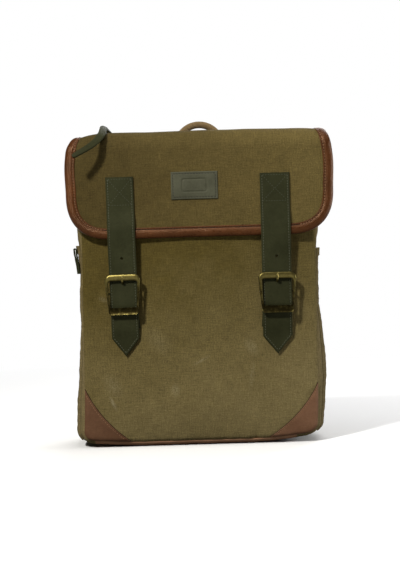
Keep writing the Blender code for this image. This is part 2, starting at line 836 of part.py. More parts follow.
def make_buckle(side, buckle_frame):
    """A cast frame with a thick top bar and a broad keeper, and a hinge bar behind the strap."""
    top_half, low_half = BUCKLE_TOP_HALF * side.width, BUCKLE_LOW_HALF * side.width
    outer = trapezoid(top_half, low_half, 0, -BUCKLE_HEIGHT, BUCKLE_CORNER, BUCKLE_LOW_CORNER)
    inner = trapezoid(
        top_half - BUCKLE_SIDE,
        low_half - BUCKLE_SIDE / 2,
        -BUCKLE_TOP_BAR,
        KEEPER_HEIGHT - BUCKLE_HEIGHT,
        WINDOW_TOP_CORNER,
        WINDOW_LOW_CORNER,
    )
    back = STRAP_LEATHER / 2 + BUCKLE_STAND
    shape = bmesh.new()
    rings = []
    for near, far in zip(inner, outer):
        middle, reach = (near + far) / 2, (far - near) / 2
        high = clamp(1 + middle.y / BUCKLE_HEIGHT)
        thick = BUCKLE_LOW_THICK + (BUCKLE_TOP_THICK - BUCKLE_LOW_THICK) * eased(high)
        ring = []
        for k in range(8):
            angle = math.radians(22.5 + 45 * k)
            side_share = math.copysign(abs(math.cos(angle)) ** BAR_POWER, math.cos(angle))
            rise_share = math.copysign(abs(math.sin(angle)) ** BAR_POWER, math.sin(angle))
            at = middle + reach * side_share
            ring.append(shape.verts.new((at.x, at.y, back + thick / 2 * (1 + rise_share))))
        rings.append(ring)
    for ring, following in zip(rings, rings[1:] + rings[:1]):
        for k in range(8):
            after = (k + 1) % 8
            shape.faces.new((ring[k], ring[after], following[after], following[k]))
    bmesh.ops.recalc_face_normals(shape, faces=shape.faces)
    buckle = mesh_object(f"buckle_{side.name}", shape)
    buckle.matrix_world = buckle_frame

    share = HINGE_DROP / BUCKLE_HEIGHT
    leg = top_half + (low_half - top_half) * share - HINGE_RADIUS
    front, behind = back + BUCKLE_LOW_THICK / 2, HINGE_OUT - STRAP_OUT
    corners = ((-leg, front), (-leg, behind), (leg, behind), (leg, front))
    hinge = made_mesh(
        tube(f"hinge_{side.name}", [(x, -HINGE_DROP, z) for x, z in corners], HINGE_RADIUS)
    )
    hinge.matrix_world = buckle_frame
    combine(buckle, hinge, "UNION")

    notch = made_mesh(
        tube(
            f"notch_{side.name}",
            [(0, y, back + BUCKLE_TOP_THICK) for y in (NOTCH_SPARE, -BUCKLE_TOP_BAR - NOTCH_SPARE)],
            TONGUE_RADIUS + 2 * GAP,
        )
    )
    notch.matrix_world = buckle_frame
    combine(buckle, notch, "DIFFERENCE")
    finish(buckle, "brass")


def make_tongue(side, buckle_frame):
    """The prong, from above the hinge bar through the strap to the notch in the top bar."""
    top = STRAP_LEATHER / 2 + BUCKLE_STAND + BUCKLE_TOP_THICK
    behind = HINGE_OUT - STRAP_OUT
    foot = -HINGE_DROP + HINGE_RADIUS + GAP + TONGUE_RADIUS
    route = (
        (foot, behind),
        (-TONGUE_HOLE_DROP - TONGUE_ENTRY, behind * 0.62),
        (-TONGUE_HOLE_DROP, 0.0),
        (-BUCKLE_TOP_BAR - TONGUE_RISE, top * 0.86),
        (-BUCKLE_TOP_BAR + TONGUE_LAND, top),
        (-TONGUE_TIP, top),
    )
    points = [Vector((0, y, z)) for y, z in route]
    smooth = [buckle_frame @ spline(points, k / 10) for k in range(11)]
    tube(f"buckle_tongue_{side.name}", smooth, TONGUE_RADIUS, "brass", sides=1)


def make_tab(side, buckle_frame):
    """The leather that holds the buckle, doubled round the hinge bar with a slot for the prong."""
    hinge = side.buckle_top - HINGE_DROP
    foot = side.buckle_top - TAB_FOOT
    low = GAP + TAB_LEATHER / 2
    route = [(foot + (hinge - foot) * k / 3, low) for k in range(4)]
    for k in range(1, 7):
        angle = math.pi * k / 6
        route.append((hinge + TAB_WRAP * math.sin(angle), HINGE_OUT - TAB_WRAP * math.cos(angle)))
    route.append((hinge - TAB_FRONT, HINGE_OUT + TAB_WRAP))

    def place(u, v):
        z, out = route[round(v * (len(route) - 1))]
        down = clamp((hinge - z) / (hinge - foot))
        middle = strap_middle(side, z) + side.sign * (side.slip * (1 - down) - TAB_SHIFT * down)
        return front_point(middle + TAB_WIDTH * side.width * (u - 0.5) - lean_at(z), z, out)

    tab = sheet(f"buckle_tab_{side.name}", 2, len(route) - 1, place, TAB_LEATHER, "green")
    shape = bmesh.new()
    bmesh.ops.create_cube(shape, size=1)
    slot = mesh_object(f"tab_slot_{side.name}", shape)
    size = Matrix.Diagonal((2 * (TONGUE_RADIUS + TAB_SLOT_SIDE), TAB_SLOT_HEIGHT, TAB_SLOT_DEPTH, 1))
    out = HINGE_OUT - STRAP_OUT + TAB_SLOT_OUT
    slot.matrix_world = buckle_frame @ Matrix.Translation((0, TAB_SLOT_RISE - HINGE_DROP, out)) @ size
    combine(tab, slot, "DIFFERENCE")


def make_handle():
    """A rolled handle that stands above the flap, its legs down the back."""
    centre = HANDLE_TOP - HANDLE_RADIUS - HANDLE_ARC
    points = []
    for k in range(17):
        angle = math.pi * k / 16
        x = HANDLE_X - HANDLE_ARC * math.cos(angle)
        points.append((x, centre + HANDLE_ARC * math.sin(angle)))
    points = [(points[0][0], HANDLE_FOOT)] + points + [(points[-1][0], HANDLE_FOOT)]
    y = back_point(HANDLE_X - HANDLE_ARC, HANDLE_FOOT, GAP + HANDLE_RADIUS).y
    tube("handle", [(x, y, z) for x, z in points], HANDLE_RADIUS, "webbing", sides=2)


def make_zip():
    """The zip and the strip of canvas between the flap's root and the back."""
    ends = (
        ("zip_tape", ROOT_Y + GAP, ROOT_Y + ZIP_WIDTH, ZIP_THICK, "black"),
        ("top_strip", ROOT_Y + ZIP_WIDTH + GAP, BACK_Y - CANVAS - GAP, CANVAS, "canvas"),
    )
    for name, front, back, thick, finish_name in ends:

        def place(u, v, front=front, back=back):
            return Vector((ZIP_HALF * (2 * u - 1), front + (back - front) * v, ROOT_Z - ZIP_DROP))

        sheet(name, 6, 2, place, thick, finish_name)


def pull_frames():
    """The pull's route as (point, along, across, out) from the puller to the tip."""
    route = [
        Vector((row.across * FLAP_HALF, row.depth * BODY_DEPTH, FLAP_TOP + row.rise * FOLD_RADIUS))
        for row in PULLS
    ]
    frames = []
    steps = 12
    for k in range(steps + 1):
        share = k / steps
        at = spline(route, share)
        along = (spline(route, share + 0.02) - spline(route, share - 0.02)).normalized()
        out = Vector(PULL_FACING)
        out = (out - along * out.dot(along)).normalized()
        frames.append((at, along, out.cross(along), out))
    return frames


def make_pull():
    """A strip of leather folded double through the puller's end."""
    frames = pull_frames()
    spread = PULL_LEATHER / 2 + GAP / 2
    turn = ZIP_WIRE + GAP + PULL_LEATHER / 2
    upper, lower = [], []
    for k, (at, along, across, out) in enumerate(frames):
        wide = spread + (turn - spread) * (1 - eased(k / 3))
        upper.append((at + out * wide, across))
        lower.append((at - out * wide, across))
    at, along, across, out = frames[0]
    bend = []
    for k in range(1, 5):
        angle = math.pi * k / 5
        bend.append((at + turn * (math.cos(angle) * out - math.sin(angle) * along), across))
    route = upper[::-1] + bend + lower

    def place(u, v):
        at, across = route[round(v * (len(route) - 1))]
        return at + across * PULL_WIDTH * (u - 0.5)

    sheet("zip_pull", 2, len(route) - 1, place, PULL_LEATHER, "green")


def make_puller():
    """The metal end that holds the pull, the ring behind it and the slider on the zip."""
    at, along, across, out = pull_frames()[0]
    half = PULLER_WIDTH / 2
    narrow = half * PULLER_TAPER
    corners = ((0, -half), (0, half), (-PULLER_LENGTH, narrow), (-PULLER_LENGTH, -narrow))
    loop = [at + along * near + across * wide for near, wide in corners]
    tube("zip_puller", loop, ZIP_WIRE, "brass", closed=True, sides=1)

    slider_top = ROOT_Z - ZIP_DROP + ZIP_THICK / 2 + GAP + SLIDER_HEIGHT
    slider_at = Vector((SLIDER_X, ROOT_Y + ZIP_WIDTH / 2, slider_top))
    shape = bmesh.new()
    bmesh.ops.create_cube(shape, size=1)
    size = Matrix.Diagonal((SLIDER_LENGTH, SLIDER_WIDTH, SLIDER_HEIGHT, 1))
    bmesh.ops.transform(shape, matrix=size, verts=shape.verts)
    slider = mesh_object("zip_slider", shape)
    slider.location = slider_at - Vector((0, 0, SLIDER_HEIGHT / 2))
    edge = slider.modifiers.new("edge", "BEVEL")
    edge.width = SLIDER_BEVEL
    edge.segments = 2
    finish(slider, "brass")

    far = at - along * (PULLER_LENGTH + 2 * ZIP_WIRE + 3 * GAP)
    near = slider_at + Vector((0, 0, ZIP_WIRE + GAP))
    link = near - far
    side_way = link.cross(Vector((0, 0, 1))).normalized()
    ring = []
    for k in range(14):
        angle = 2 * math.pi * k / 14
        ring.append(
            (far + near) / 2 + link / 2 * math.cos(angle) + side_way * RING_RADIUS * math.sin(angle)
        )
    tube("zip_ring", ring, ZIP_WIRE, "brass", closed=True, sides=1)


def make_side_loop():
    """A folded leather loop sewn to the left side near the front seam."""
    share = LOOP_INSET / BODY_DEPTH
    low_run = CORNER_RUN + LOOP_Z - SEAM_LIFT - SEAM_CORNER
    half = LOOP_WIDTH / 2 / BODY_DEPTH
    spread = LOOP_LEATHER / 2 + GAP
    near = POCKET_SLACK * math.sin(math.pi * share) + CANVAS + LOOP_LIFT + LOOP_LEATHER / 2
    turn = LOOP_TURN
    route = [(0.0, near), (LOOP_HEIGHT * 0.5, near + LOOP_LEAN * 0.4)]
    route += [(LOOP_HEIGHT - turn, near + LOOP_LEAN - turn + spread)]
    for k in range(1, 6):
        angle = math.pi * k / 6
        centre_up, centre_out = LOOP_HEIGHT - turn, near + LOOP_LEAN + spread
        route.append((centre_up + turn * math.sin(angle), centre_out - turn * math.cos(angle)))
    route += [(LOOP_HEIGHT - turn, near + LOOP_LEAN + turn + spread)]
    route += [(LOOP_HEIGHT * 0.5, near + LOOP_LEAN * 0.4 + LOOP_MIDDLE_SHARE * spread)]
    route += [(0.0, near + LOOP_FOOT_SHARE * spread)]

    def place(u, v):
        up, out = route[round(v * (len(route) - 1))]
        return side_point(-1, low_run + up, share + half * (2 * u - 1), out)

    sheet("side_loop", 2, len(route) - 1, place, LOOP_LEATHER, "green")


def pad_middle(side, share):
    """The shoulder pad's middle line and half width, by share of its length."""
    z = PAD_TOP + (PAD_END - PAD_TOP) * share
    x = PAD_TOP_X + (PAD_END_X - PAD_TOP_X) * eased(share)
    out = GAP + PAD_THICK / 2 + PAD_BOW * read_table(PAD_BOWS, share, "bow")
    half = (PAD_TOP_WIDTH + (PAD_END_WIDTH - PAD_TOP_WIDTH) * eased(share)) / 2
    return back_point(side.sign * x, z, out), half


def make_shoulder_strap(side):
    """A padded strap, the webbing below it, and the adjuster between them."""

    def place(u, v):
        middle, half = pad_middle(side, v)
        return middle + Vector((half * (2 * u - 1), 0, 0))

    sheet(f"shoulder_strap_{side.name}", 3, 14, place, PAD_THICK, "canvas")

    end, half = pad_middle(side, 1.0)
    anchor = back_point(side.sign * (BODY_HALF - WEB_END_INSET), WEB_END_Z, 2 * GAP + WEB_THICK / 2)
    hang = Vector((0, anchor.y - end.y, anchor.z - end.z)).normalized()
    top = end + hang * (ADJUSTER_WIRE + 3 * GAP)
    half_ring = WEB_WIDTH / 2 + ADJUSTER_WIRE + ADJUSTER_SPARE
    corners = ((0, -1), (0, 1), (1, 1), (1, -1))
    frame = [top + hang * ADJUSTER_HEIGHT * low + Vector((half_ring * wide, 0, 0)) for low, wide in corners]
    tube(f"strap_adjuster_{side.name}", frame, ADJUSTER_WIRE, "brass", closed=True, sides=1)

    start = top + hang * (ADJUSTER_HEIGHT + ADJUSTER_WIRE + GAP)

    def web_place(u, v):
        return start.lerp(anchor, v) + Vector((WEB_WIDTH * (u - 0.5), WEB_SAG * math.sin(math.pi * v), 0))

    sheet(f"strap_webbing_{side.name}", 2, 8, web_place, WEB_THICK, "webbing")


def main():
    make_front_panel()
    make_back_panel()
    make_base()
    make_flap()
    make_binding()
    make_label()
    make_handle()
    make_zip()
    make_pull()
    make_puller()
    make_side_loop()
    for side in SIDES:
        frame = buckle_place(side)
        make_side_panel(side)
        make_side_pocket(side)
        make_corner_patch(side)
        make_strap(side, frame)
        make_buckle(side, frame)
        make_tongue(side, frame)
        make_tab(side, frame)
        make_shoulder_strap(side)


main()
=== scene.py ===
"""Looks of the canvas backpack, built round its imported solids. Metres, +Z up, the front faces -Y."""

import json
import math
import random
from collections import namedtuple

import bmesh
import bpy
from mathutils import Matrix, Vector, noise

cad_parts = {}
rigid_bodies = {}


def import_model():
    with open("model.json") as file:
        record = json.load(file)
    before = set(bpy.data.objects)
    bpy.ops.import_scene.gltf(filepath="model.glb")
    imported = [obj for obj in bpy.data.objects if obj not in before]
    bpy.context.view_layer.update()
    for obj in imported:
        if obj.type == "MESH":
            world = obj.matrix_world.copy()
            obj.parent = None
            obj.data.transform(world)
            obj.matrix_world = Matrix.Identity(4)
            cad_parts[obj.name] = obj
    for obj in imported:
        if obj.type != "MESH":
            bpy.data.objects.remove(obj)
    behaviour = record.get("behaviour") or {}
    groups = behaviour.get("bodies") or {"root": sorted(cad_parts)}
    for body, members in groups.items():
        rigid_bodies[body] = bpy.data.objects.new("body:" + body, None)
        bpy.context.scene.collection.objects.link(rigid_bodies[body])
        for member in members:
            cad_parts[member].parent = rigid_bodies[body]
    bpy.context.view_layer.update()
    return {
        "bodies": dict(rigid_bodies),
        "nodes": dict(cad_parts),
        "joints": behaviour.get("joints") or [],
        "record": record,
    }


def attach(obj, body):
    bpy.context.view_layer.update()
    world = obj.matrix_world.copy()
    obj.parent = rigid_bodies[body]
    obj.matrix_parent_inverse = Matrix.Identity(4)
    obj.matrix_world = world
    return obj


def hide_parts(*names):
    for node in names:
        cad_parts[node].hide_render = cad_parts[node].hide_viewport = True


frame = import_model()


def table(columns, *rows):
    """Rows with named columns."""
    row = namedtuple("Row", columns)
    return tuple(row(*values) for values in rows)


# Walls and clearances, the same as in the solids
GAP = 0.0003
CANVAS = 0.0020
FLAP_CANVAS = 0.0024
STRAP_LEATHER = 0.0028
TAB_LEATHER = 0.0018
BINDING_LEATHER = 0.0012
PATCH_LEATHER = 0.0012
BASE_LEATHER = 0.0025

# Body
BODY_WIDTH = 0.2972
BODY_DEPTH = 0.120
BODY_TOP = 0.376
SIDE_TOP = 0.380
BACK_TOP = 0.392
BACK_CORNER = 0.020
SEAM_LIFT = 0.0062
SEAM_CORNER = 0.013
BASE_ROLL = 0.016
SIDE_ROLL = 0.040
SIDE_SWELL = 0.0098
FRONT_CROWN = 0.010
CROWN_POWER = 2.2
CROWN_RISE = 0.030
CROWN_TAPER = 0.35
BACK_CROWN = 0.004

# The bottom sags in the middle, so its two ends stand a little off the floor
END_START = 0.062
LEFT_END_RISE = 0.0030
RIGHT_END_RISE = 0.0052
END_REACH = 0.066
END_FADE = 0.026

# Below this height the body leans to the left, by this slope
LEAN_TOP = 0.262
BODY_LEAN = 0.0090
FOOT_SHIFT = 0.0036
FOOT_FADE = 0.026

# Side pockets
POCKET_INSET = 0.010
POCKET_SLACK = 0.0025

# Corner patches, measured from the side seam and the bottom seam
PATCH_HEIGHT = 0.070
PATCH_WIDTH = 0.062
PATCH_HOLLOW_ACROSS = 0.019
PATCH_HOLLOW_UP = 0.028
PATCH_TRIM = 0.0004
PATCH_END = 0.02

# Flap
FLAP_TOP = 0.4000
FLAP_BOTTOM = 0.2655
FLAP_HALF = 0.1688
FLAP_SHIFT = 0.0028
FLAP_STAND = 0.0090
FLAP_FLARE = 0.0030
FLAP_CORNER = 0.058
FLAP_CORNER_POWER = 0.8
STRAIGHT_SHARE = 0.7
FOLD_RADIUS = 0.024
ROOT_Y = 0.012
ROOT_Z = 0.3955
CURL = 0.0125
CURL_START = 0.118
CURL_RIGHT_SHARE = 0.40
CURL_LOW_SHARE = 0.28
BINDING_WIDTH = 0.0115
BINDING_PUFF = 0.0024

# Label, and the frame embossed on it
LABEL_WIDTH = 0.059
LABEL_HEIGHT = 0.035
LABEL_THICK = 0.0015
LABEL_X = -0.0034
LABEL_Z = 0.329
LABEL_FRAME_HALF_WIDTH = 0.0155
LABEL_FRAME_HALF_HEIGHT = 0.0080
LABEL_FRAME_CORNER = 0.0030
LABEL_FRAME_DEPTH = 0.00070

# Straps and buckles. The hole, the prong and the window's corners differ from the solids' on purpose.
STRAP_WIDTH = 0.038
STRAP_TOP = 0.342
STRAP_POINT = 0.0225
STRAP_CLIMB = 0.022
STRAP_STEP = 0.002
STRAP_DROP = 0.004
STRAP_REST = 0.0006
ABOVE_BUCKLE = 0.006
BEHIND_BUCKLE = 0.010
KEEPER_DIP = 0.0025
HOLE_RADIUS = 0.0016
SPARE_HOLE_RISE = 0.020
TAB_WIDTH = 0.035
TAB_FOOT = 0.0685
TAB_FRONT = 0.012
TAB_SHIFT = 0.0028
TAB_SLOT = 0.0028
TAB_SHARES = (0, 0.03, 0.06, 0.1, 0.3, 0.5, 0.7, 0.9, 0.94, 0.97, 1)
BUCKLE_TOP_HALF = 0.0245
BUCKLE_LOW_HALF = 0.0205
BUCKLE_HEIGHT = 0.051
BUCKLE_TOP_BAR = 0.0085
BUCKLE_SIDE = 0.0041
KEEPER_HEIGHT = 0.009
KEEPER_RAMP = 0.003
KEEPER_RIM = 0.0008
KEEPER_HOLLOW = 0.0010
BUCKLE_TOP_THICK = 0.0042
BUCKLE_LOW_THICK = 0.0030
BUCKLE_CORNER = 0.008
BUCKLE_LOW_CORNER = 0.004
WINDOW_TOP_CORNER = 0.0035
WINDOW_LOW_CORNER = 0.0015
BUCKLE_STAND = 0.0005
HINGE_DROP = 0.024
HINGE_RADIUS = 0.0013
HINGE_BEND = 0.0016
HINGE_GAP = 0.00045
TONGUE_RADIUS = 0.0015
TONGUE_HOLE_DROP = 0.0122

# Handle
HANDLE_X = 0.0045
HANDLE_RADIUS = 0.0047
HANDLE_ARC = 0.031
HANDLE_TOP = 0.4285
HANDLE_FOOT = 0.362

# Zip behind the flap, and its pull
ZIP_WIDTH = 0.024
ZIP_HALF = 0.138
ZIP_THICK = 0.0016
ZIP_DROP = 0.0012
TEETH_INSET = 0.004
TEETH_PITCH = 0.0016
TEETH_SIDE = 0.0011
TEETH_RISE = 0.0003
TEETH = {"length": 0.0030, "radius": 0.00062}
ZIP_WIRE = 0.0009
PULL_LEATHER = 0.0014
PULL_WIDTH = 0.0095
PULL_FACING = (0.25, -1.0, 0.45)

# Loop on the left side, a little fuller than the solid's and closer to the pocket
LOOP_Z = 0.222
LOOP_HEIGHT = 0.032
LOOP_WIDTH = 0.011
LOOP_LEATHER = 0.0014
LOOP_LEAN = 0.0006
LOOP_INSET = 0.016
LOOP_TURN = 0.0014
LOOP_LIFT = 4 * GAP
LOOP_PUFF = 1.3
LOOP_FOOT_SHARE = 1.8
LOOP_MIDDLE_SHARE = 2.2

# Shoulder straps at the back
PAD_THICK = 0.010
PAD_TOP = 0.352
PAD_END = 0.118
PAD_TOP_X = 0.052
PAD_END_X = 0.096
PAD_TOP_WIDTH = 0.062
PAD_END_WIDTH = 0.040
PAD_BOW = 0.040
PAD_SHRINK = 0.0016
PAD_SEAM = 0.0062
PAD_SEAM_DEPTH = 0.30
PAD_EDGE_DEPTH = 0.25
WEB_WIDTH = 0.025
WEB_THICK = 0.0018
WEB_SAG = 0.003
WEB_END_INSET = 0.0226
WEB_END_Z = 0.046
ADJUSTER_HEIGHT = 0.022
ADJUSTER_WIRE = 0.0018
ADJUSTER_BEND = 0.003
ADJUSTER_SPARE = 0.001

FRONT_Y = -BODY_DEPTH / 2
BACK_Y = BODY_DEPTH / 2
BODY_HALF = BODY_WIDTH / 2
FLAP_FRONT_Y = FRONT_Y - FLAP_STAND
FOLD_START_Y = FLAP_FRONT_Y + FOLD_RADIUS
TOP_RUN = ROOT_Y - FOLD_START_Y
FOLD_RUN = FOLD_RADIUS * math.pi / 2
FRONT_RUN = FLAP_TOP - FOLD_RADIUS - FLAP_BOTTOM
FLAP_RUN = TOP_RUN + FOLD_RUN + FRONT_RUN
BINDING_OUT = FLAP_CANVAS / 2 + 2 * GAP + BINDING_LEATHER / 2
HINGE_OUT = GAP + TAB_LEATHER + HINGE_GAP + HINGE_RADIUS
TAB_WRAP = HINGE_RADIUS + HINGE_GAP + TAB_LEATHER / 2
STRAP_OUT = HINGE_OUT + TAB_WRAP + TAB_LEATHER / 2 + GAP + STRAP_LEATHER / 2
CORNER_RUN = SEAM_CORNER * math.pi / 2
SIDE_RUN = SIDE_TOP - SEAM_LIFT - SEAM_CORNER

SWELLS = table(
    "height left right",
    (0.00, 0.90, 0.84), (0.10, 1.05, 0.78), (0.16, 1.02, 0.88), (0.22, 0.77, 1.04),
    (0.29, 0.60, 1.00), (0.40, 0.20, 0.56), (0.46, 0.14, 0.18), (0.53, 0.14, 0.12),
    (0.59, 0.05, 0.10), (0.67, 0.49, 0.28), (0.73, 0.90, 0.66), (1.00, 0.60, 0.50),
)
FLAP_EDGE = table(
    "length half",
    (0.00, 0.945), (0.27, 0.950), (0.44, 0.985), (0.56, 1.000), (0.72, 0.993), (1.00, 0.985),
)
PAD_BOWS = table(
    "length bow",
    (0.00, 0.00), (0.12, 0.14), (0.34, 0.66), (0.60, 1.00), (0.82, 0.88), (1.00, 0.58),
)
SIDES = table(
    "name sign x lean width slip buckle_top tip base_end pocket_top",
    ("left", -1, 0.0980, 0.0120, 0.92, 0.0004, 0.2195, 0.1160, 0.1335, 0.258),
    ("right", 1, 0.0978, 0.0065, 0.98, 0.0, 0.2170, 0.1140, 0.1230, 0.247),
)

# The zip pull's middle line: across and depth as shares of FLAP_HALF and BODY_DEPTH, and the height
# over the flap's top as a share of FOLD_RADIUS
PULLS = table(
    "across depth rise",
    (-0.682, -0.025, 0.38), (-0.705, -0.200, 0.42), (-0.702, -0.383, 0.22), (-0.706, -0.583, -0.17),
    (-0.757, -0.708, -0.68), (-0.837, -0.775, -1.08), (-0.909, -0.800, -1.37),
)

# Stitches: the distance from an edge, the spacing, the size of one and how far it sinks in
STITCH_INSET = 0.0026
STITCH_PITCH = 0.0042
STITCH_LENGTH = 0.0029
STITCH_RADIUS = 0.00042
STITCH_SINK = 0.0002
EDGE_STITCH = {"pitch": 0.0036, "length": 0.0024, "radius": 0.00036}
LABEL_STITCH = {"pitch": 0.0036, "length": 0.0026}
PATCH_STITCH = {"pitch": 0.0034, "length": 0.0024, "radius": 0.00035}
STRAP_STITCH = {"pitch": 0.0034, "length": 0.0022, "radius": 0.00038}
CHANCE = random.Random(7)


def clamp(value, low=0.0, high=1.0):
    return max(low, min(high, value))


def eased(share):
    share = clamp(share)
    return share * share * (3 - 2 * share)


def hump(distance, width):
    """1 at no distance, falling softly to nothing."""
    return math.exp(-((distance / width) ** 2))


def near_edge(distance, width):
    """1 at an edge, falling to nothing a width inside it."""
    return (1 - clamp(distance / width)) ** 2


def lumps(x, y, scale, seed):
    """Soft noise from -1 to 1 over a surface, its lumps one scale wide."""
    return noise.noise(Vector((x / scale, y / scale, seed)))


def read_table(rows, at, column):
    """The column's value at a place along the table's first column, on a smooth curve."""
    last = len(rows) - 1
    at = clamp(at, rows[0][0], rows[-1][0])
    here = max(k for k in range(last) if rows[k][0] <= at)

    def slope(k):
        before, after = rows[max(k - 1, 0)], rows[min(k + 1, last)]
        return (getattr(after, column) - getattr(before, column)) / (after[0] - before[0])

    start, end = rows[here], rows[here + 1]
    width = end[0] - start[0]
    part = (at - start[0]) / width
    bend = part * (1 - part) * width
    straight = getattr(start, column) * (1 - eased(part)) + getattr(end, column) * eased(part)
    return straight + bend * (slope(here) * (1 - part) - slope(here + 1) * part)


def spline(points, share):
    """The point at a share of a smooth curve through the points."""
    span = clamp(share, 0.0, 0.999999) * (len(points) - 1)
    here = int(span)
    part = span - here
    before, start = points[max(here - 1, 0)], points[here]
    end, after = points[here + 1], points[min(here + 2, len(points) - 1)]
    return 0.5 * (
        2 * start
        + (end - before) * part
        + (2 * before - 5 * start + 4 * end - after) * part**2
        + (3 * start - before - 3 * end + after) * part**3
    )


def off_route(route, share, height):
    """A flat point off a smooth curve through the route, at a height over its left side."""
    ahead, behind = spline(route, min(share + 0.01, 1)), spline(route, max(share - 0.01, 0))
    along = (ahead - behind).normalized()
    return spline(route, share) + Vector((-along.y, along.x)) * height


def spread(count, low=0.0, high=1.0):
    """Even steps from low to high, count of them."""
    return [low + (high - low) * k / count for k in range(count + 1)]


def add_object(name, data):
    """An object in the scene."""
    made = bpy.data.objects.new(name, data)
    bpy.context.scene.collection.objects.link(made)
    return made


def mesh_of(name, shape):
    """A mesh from a bmesh, which is freed."""
    mesh = bpy.data.meshes.new(name)
    shape.to_mesh(mesh)
    shape.free()
    return mesh


def add_pattern(mesh, places):
    """Keeps each point's place on the cloth's flat pattern, in metres."""
    pattern = mesh.attributes.new("cloth", "FLOAT_VECTOR", "POINT")
    pattern.data.foreach_set("vector", [value for place in places for value in place])


def new_piece(name, points, faces, slot, material, flat=None, stands_for=(), angle=50):
    """A mesh on the root body, with its cloth pattern kept in metres where flat gives it."""
    mesh = bpy.data.meshes.new(name)
    mesh.from_pydata([tuple(p) for p in points], [], faces)
    shape = bmesh.new()
    shape.from_mesh(mesh)
    bmesh.ops.recalc_face_normals(shape, faces=shape.faces)
    shape.to_mesh(mesh)
    shape.free()
    if flat:
        add_pattern(mesh, flat)
    mesh.shade_smooth()
    mesh.set_sharp_from_angle(angle=math.radians(angle))
    mesh.materials.append(material)
    piece = add_object(name, mesh)
    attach(piece, "root")
    if stands_for:
        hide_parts(*stands_for)
    return piece


def grid_faces(columns, rows, start=0, loop=False):
    """Four-sided faces over rows of points, columns of them in each row."""
    faces = []
    across = columns if loop else columns - 1
    for j in range(rows - 1):
        for i in range(across):
            low, high = start + j * columns, start + (j + 1) * columns
            near = (i + 1) % columns
            faces.append((low + i, low + near, high + near, high + i))
    return faces


def slab(name, us, vs, at, top, bottom, slot, material, flat=None, **more):
    """A closed sheet: at(u, v, height) is a point off the surface, top and bottom its two heights.

    Each height is a number or a function of u and v.
    """
    columns, rows = len(us), len(vs)
    count = columns * rows
    points = []
    for height in (top, bottom):
        points += [at(u, v, height(u, v) if callable(height) else height) for v in vs for u in us]
    faces = grid_faces(columns, rows)
    faces += [tuple(count + k for k in reversed(face)) for face in faces]
    rim = list(range(columns)) + [columns * j + columns - 1 for j in range(1, rows)]
    rim += [columns * (rows - 1) + i for i in range(columns - 2, -1, -1)]
    rim += [columns * j for j in range(rows - 2, 0, -1)]
    for here, after in zip(rim, rim[1:] + rim[:1]):
        faces.append((here, count + here, count + after, after))
    pattern = [flat(u, v) for v in vs for u in us] * 2 if flat else None
    return new_piece(name, points, faces, slot, material, pattern, **more)


def loft(name, rings, slot, material, closed=False, flat=None, **more):
    """A skin over closed rings of points, with its ends filled unless it is itself closed."""
    size = len(rings[0])
    points = [point for ring in rings for point in ring]
    faces = grid_faces(size, len(rings), loop=True)
    last = (len(rings) - 1) * size
    if closed:
        faces += [(last + i, last + (i + 1) % size, (i + 1) % size, i) for i in range(size)]
    else:
        faces += [tuple(range(size)), tuple(last + i for i in range(size))]
    return new_piece(name, points, faces, slot, material, flat, **more)


def tube_rings(points, radius, sides=14, closed=False):
    """Rings round a line of points; radius(share) gives the two half sizes of a ring."""
    rings = []
    count = len(points)
    across = None
    for k, point in enumerate(points):
        if closed:
            along = points[(k + 1) % count] - points[k - 1]
        else:
            along = points[min(k + 1, count - 1)] - points[max(k - 1, 0)]
        along.normalize()
        if across is None:
            across = along.orthogonal()
        across = (across - along * across.dot(along)).normalized()
        other = along.cross(across)
        wide, high = radius(k / max(count - 1, 1))
        ring = []
        for j in range(sides):
            angle = 2 * math.pi * j / sides
            ring.append(point + across * wide * math.cos(angle) + other * high * math.sin(angle))
        rings.append(ring)
    return rings


def even(radius):
    """The same half sizes all the way along a tube."""
    return lambda share: (radius, radius)


def bend(before, here, after, reach):
    """Seven points round a corner, starting and ending a reach away from it."""
    start = here + (before - here).normalized() * reach
    end = here + (after - here).normalized() * reach
    shares = [k / 6 for k in range(7)]
    return [(1 - t) ** 2 * start + 2 * t * (1 - t) * here + t * t * end for t in shares]


class Thread:
    """Stitches gathered into one mesh."""

    TURNS = ((-1.0, 0.30), (-0.72, 0.85), (0.0, 1.0), (0.72, 0.85), (1.0, 0.30))

    def __init__(self):
        self.points, self.faces = [], []

    def add(self, centre, along, out, length=STITCH_LENGTH, radius=STITCH_RADIUS):
        across = along.cross(out).normalized()
        start = len(self.points)
        for share, full in self.TURNS:
            middle = centre + along * (share * length / 2) - out * radius * 0.5 * share**2
            for k in range(6):
                angle = math.pi * k / 3
                self.points.append(
                    middle + full * radius * (math.cos(angle) * across + math.sin(angle) * out)
                )
        self.faces += grid_faces(6, len(self.TURNS), start, loop=True)
        self.faces.append(tuple(start + k for k in range(6)))
        self.faces.append(tuple(start + 24 + k for k in range(6)))

    def run(self, at, path, height, pitch=STITCH_PITCH, **size):
        """Stitches at an even pitch along a path over a surface at(u, v, height)."""
        corners = [at(u, v, height) for u, v in path]
        raised = [at(u, v, height + 0.001) for u, v in path]
        outs = [(high - low).normalized() for high, low in zip(raised, corners)]
        reach = pitch / 2
        gone = 0.0
        for k in range(len(corners) - 1):
            step = corners[k + 1] - corners[k]
            span = step.length
            while span > 0 and reach <= gone + span:
                part = (reach - gone) / span
                along = step.normalized()
                out = outs[k].lerp(outs[k + 1], part)
                out = (out - along * out.dot(along)).normalized()
                tilt = CHANCE.uniform(-0.10, 0.10)
                along = (along + along.cross(out) * tilt).normalized()
                self.add(corners[k] + step * part, along, out, **size)
                reach += pitch
            gone += span

    def piece(self, name, slot, material):
        return new_piece(name, self.points, self.faces, slot, material, angle=80)


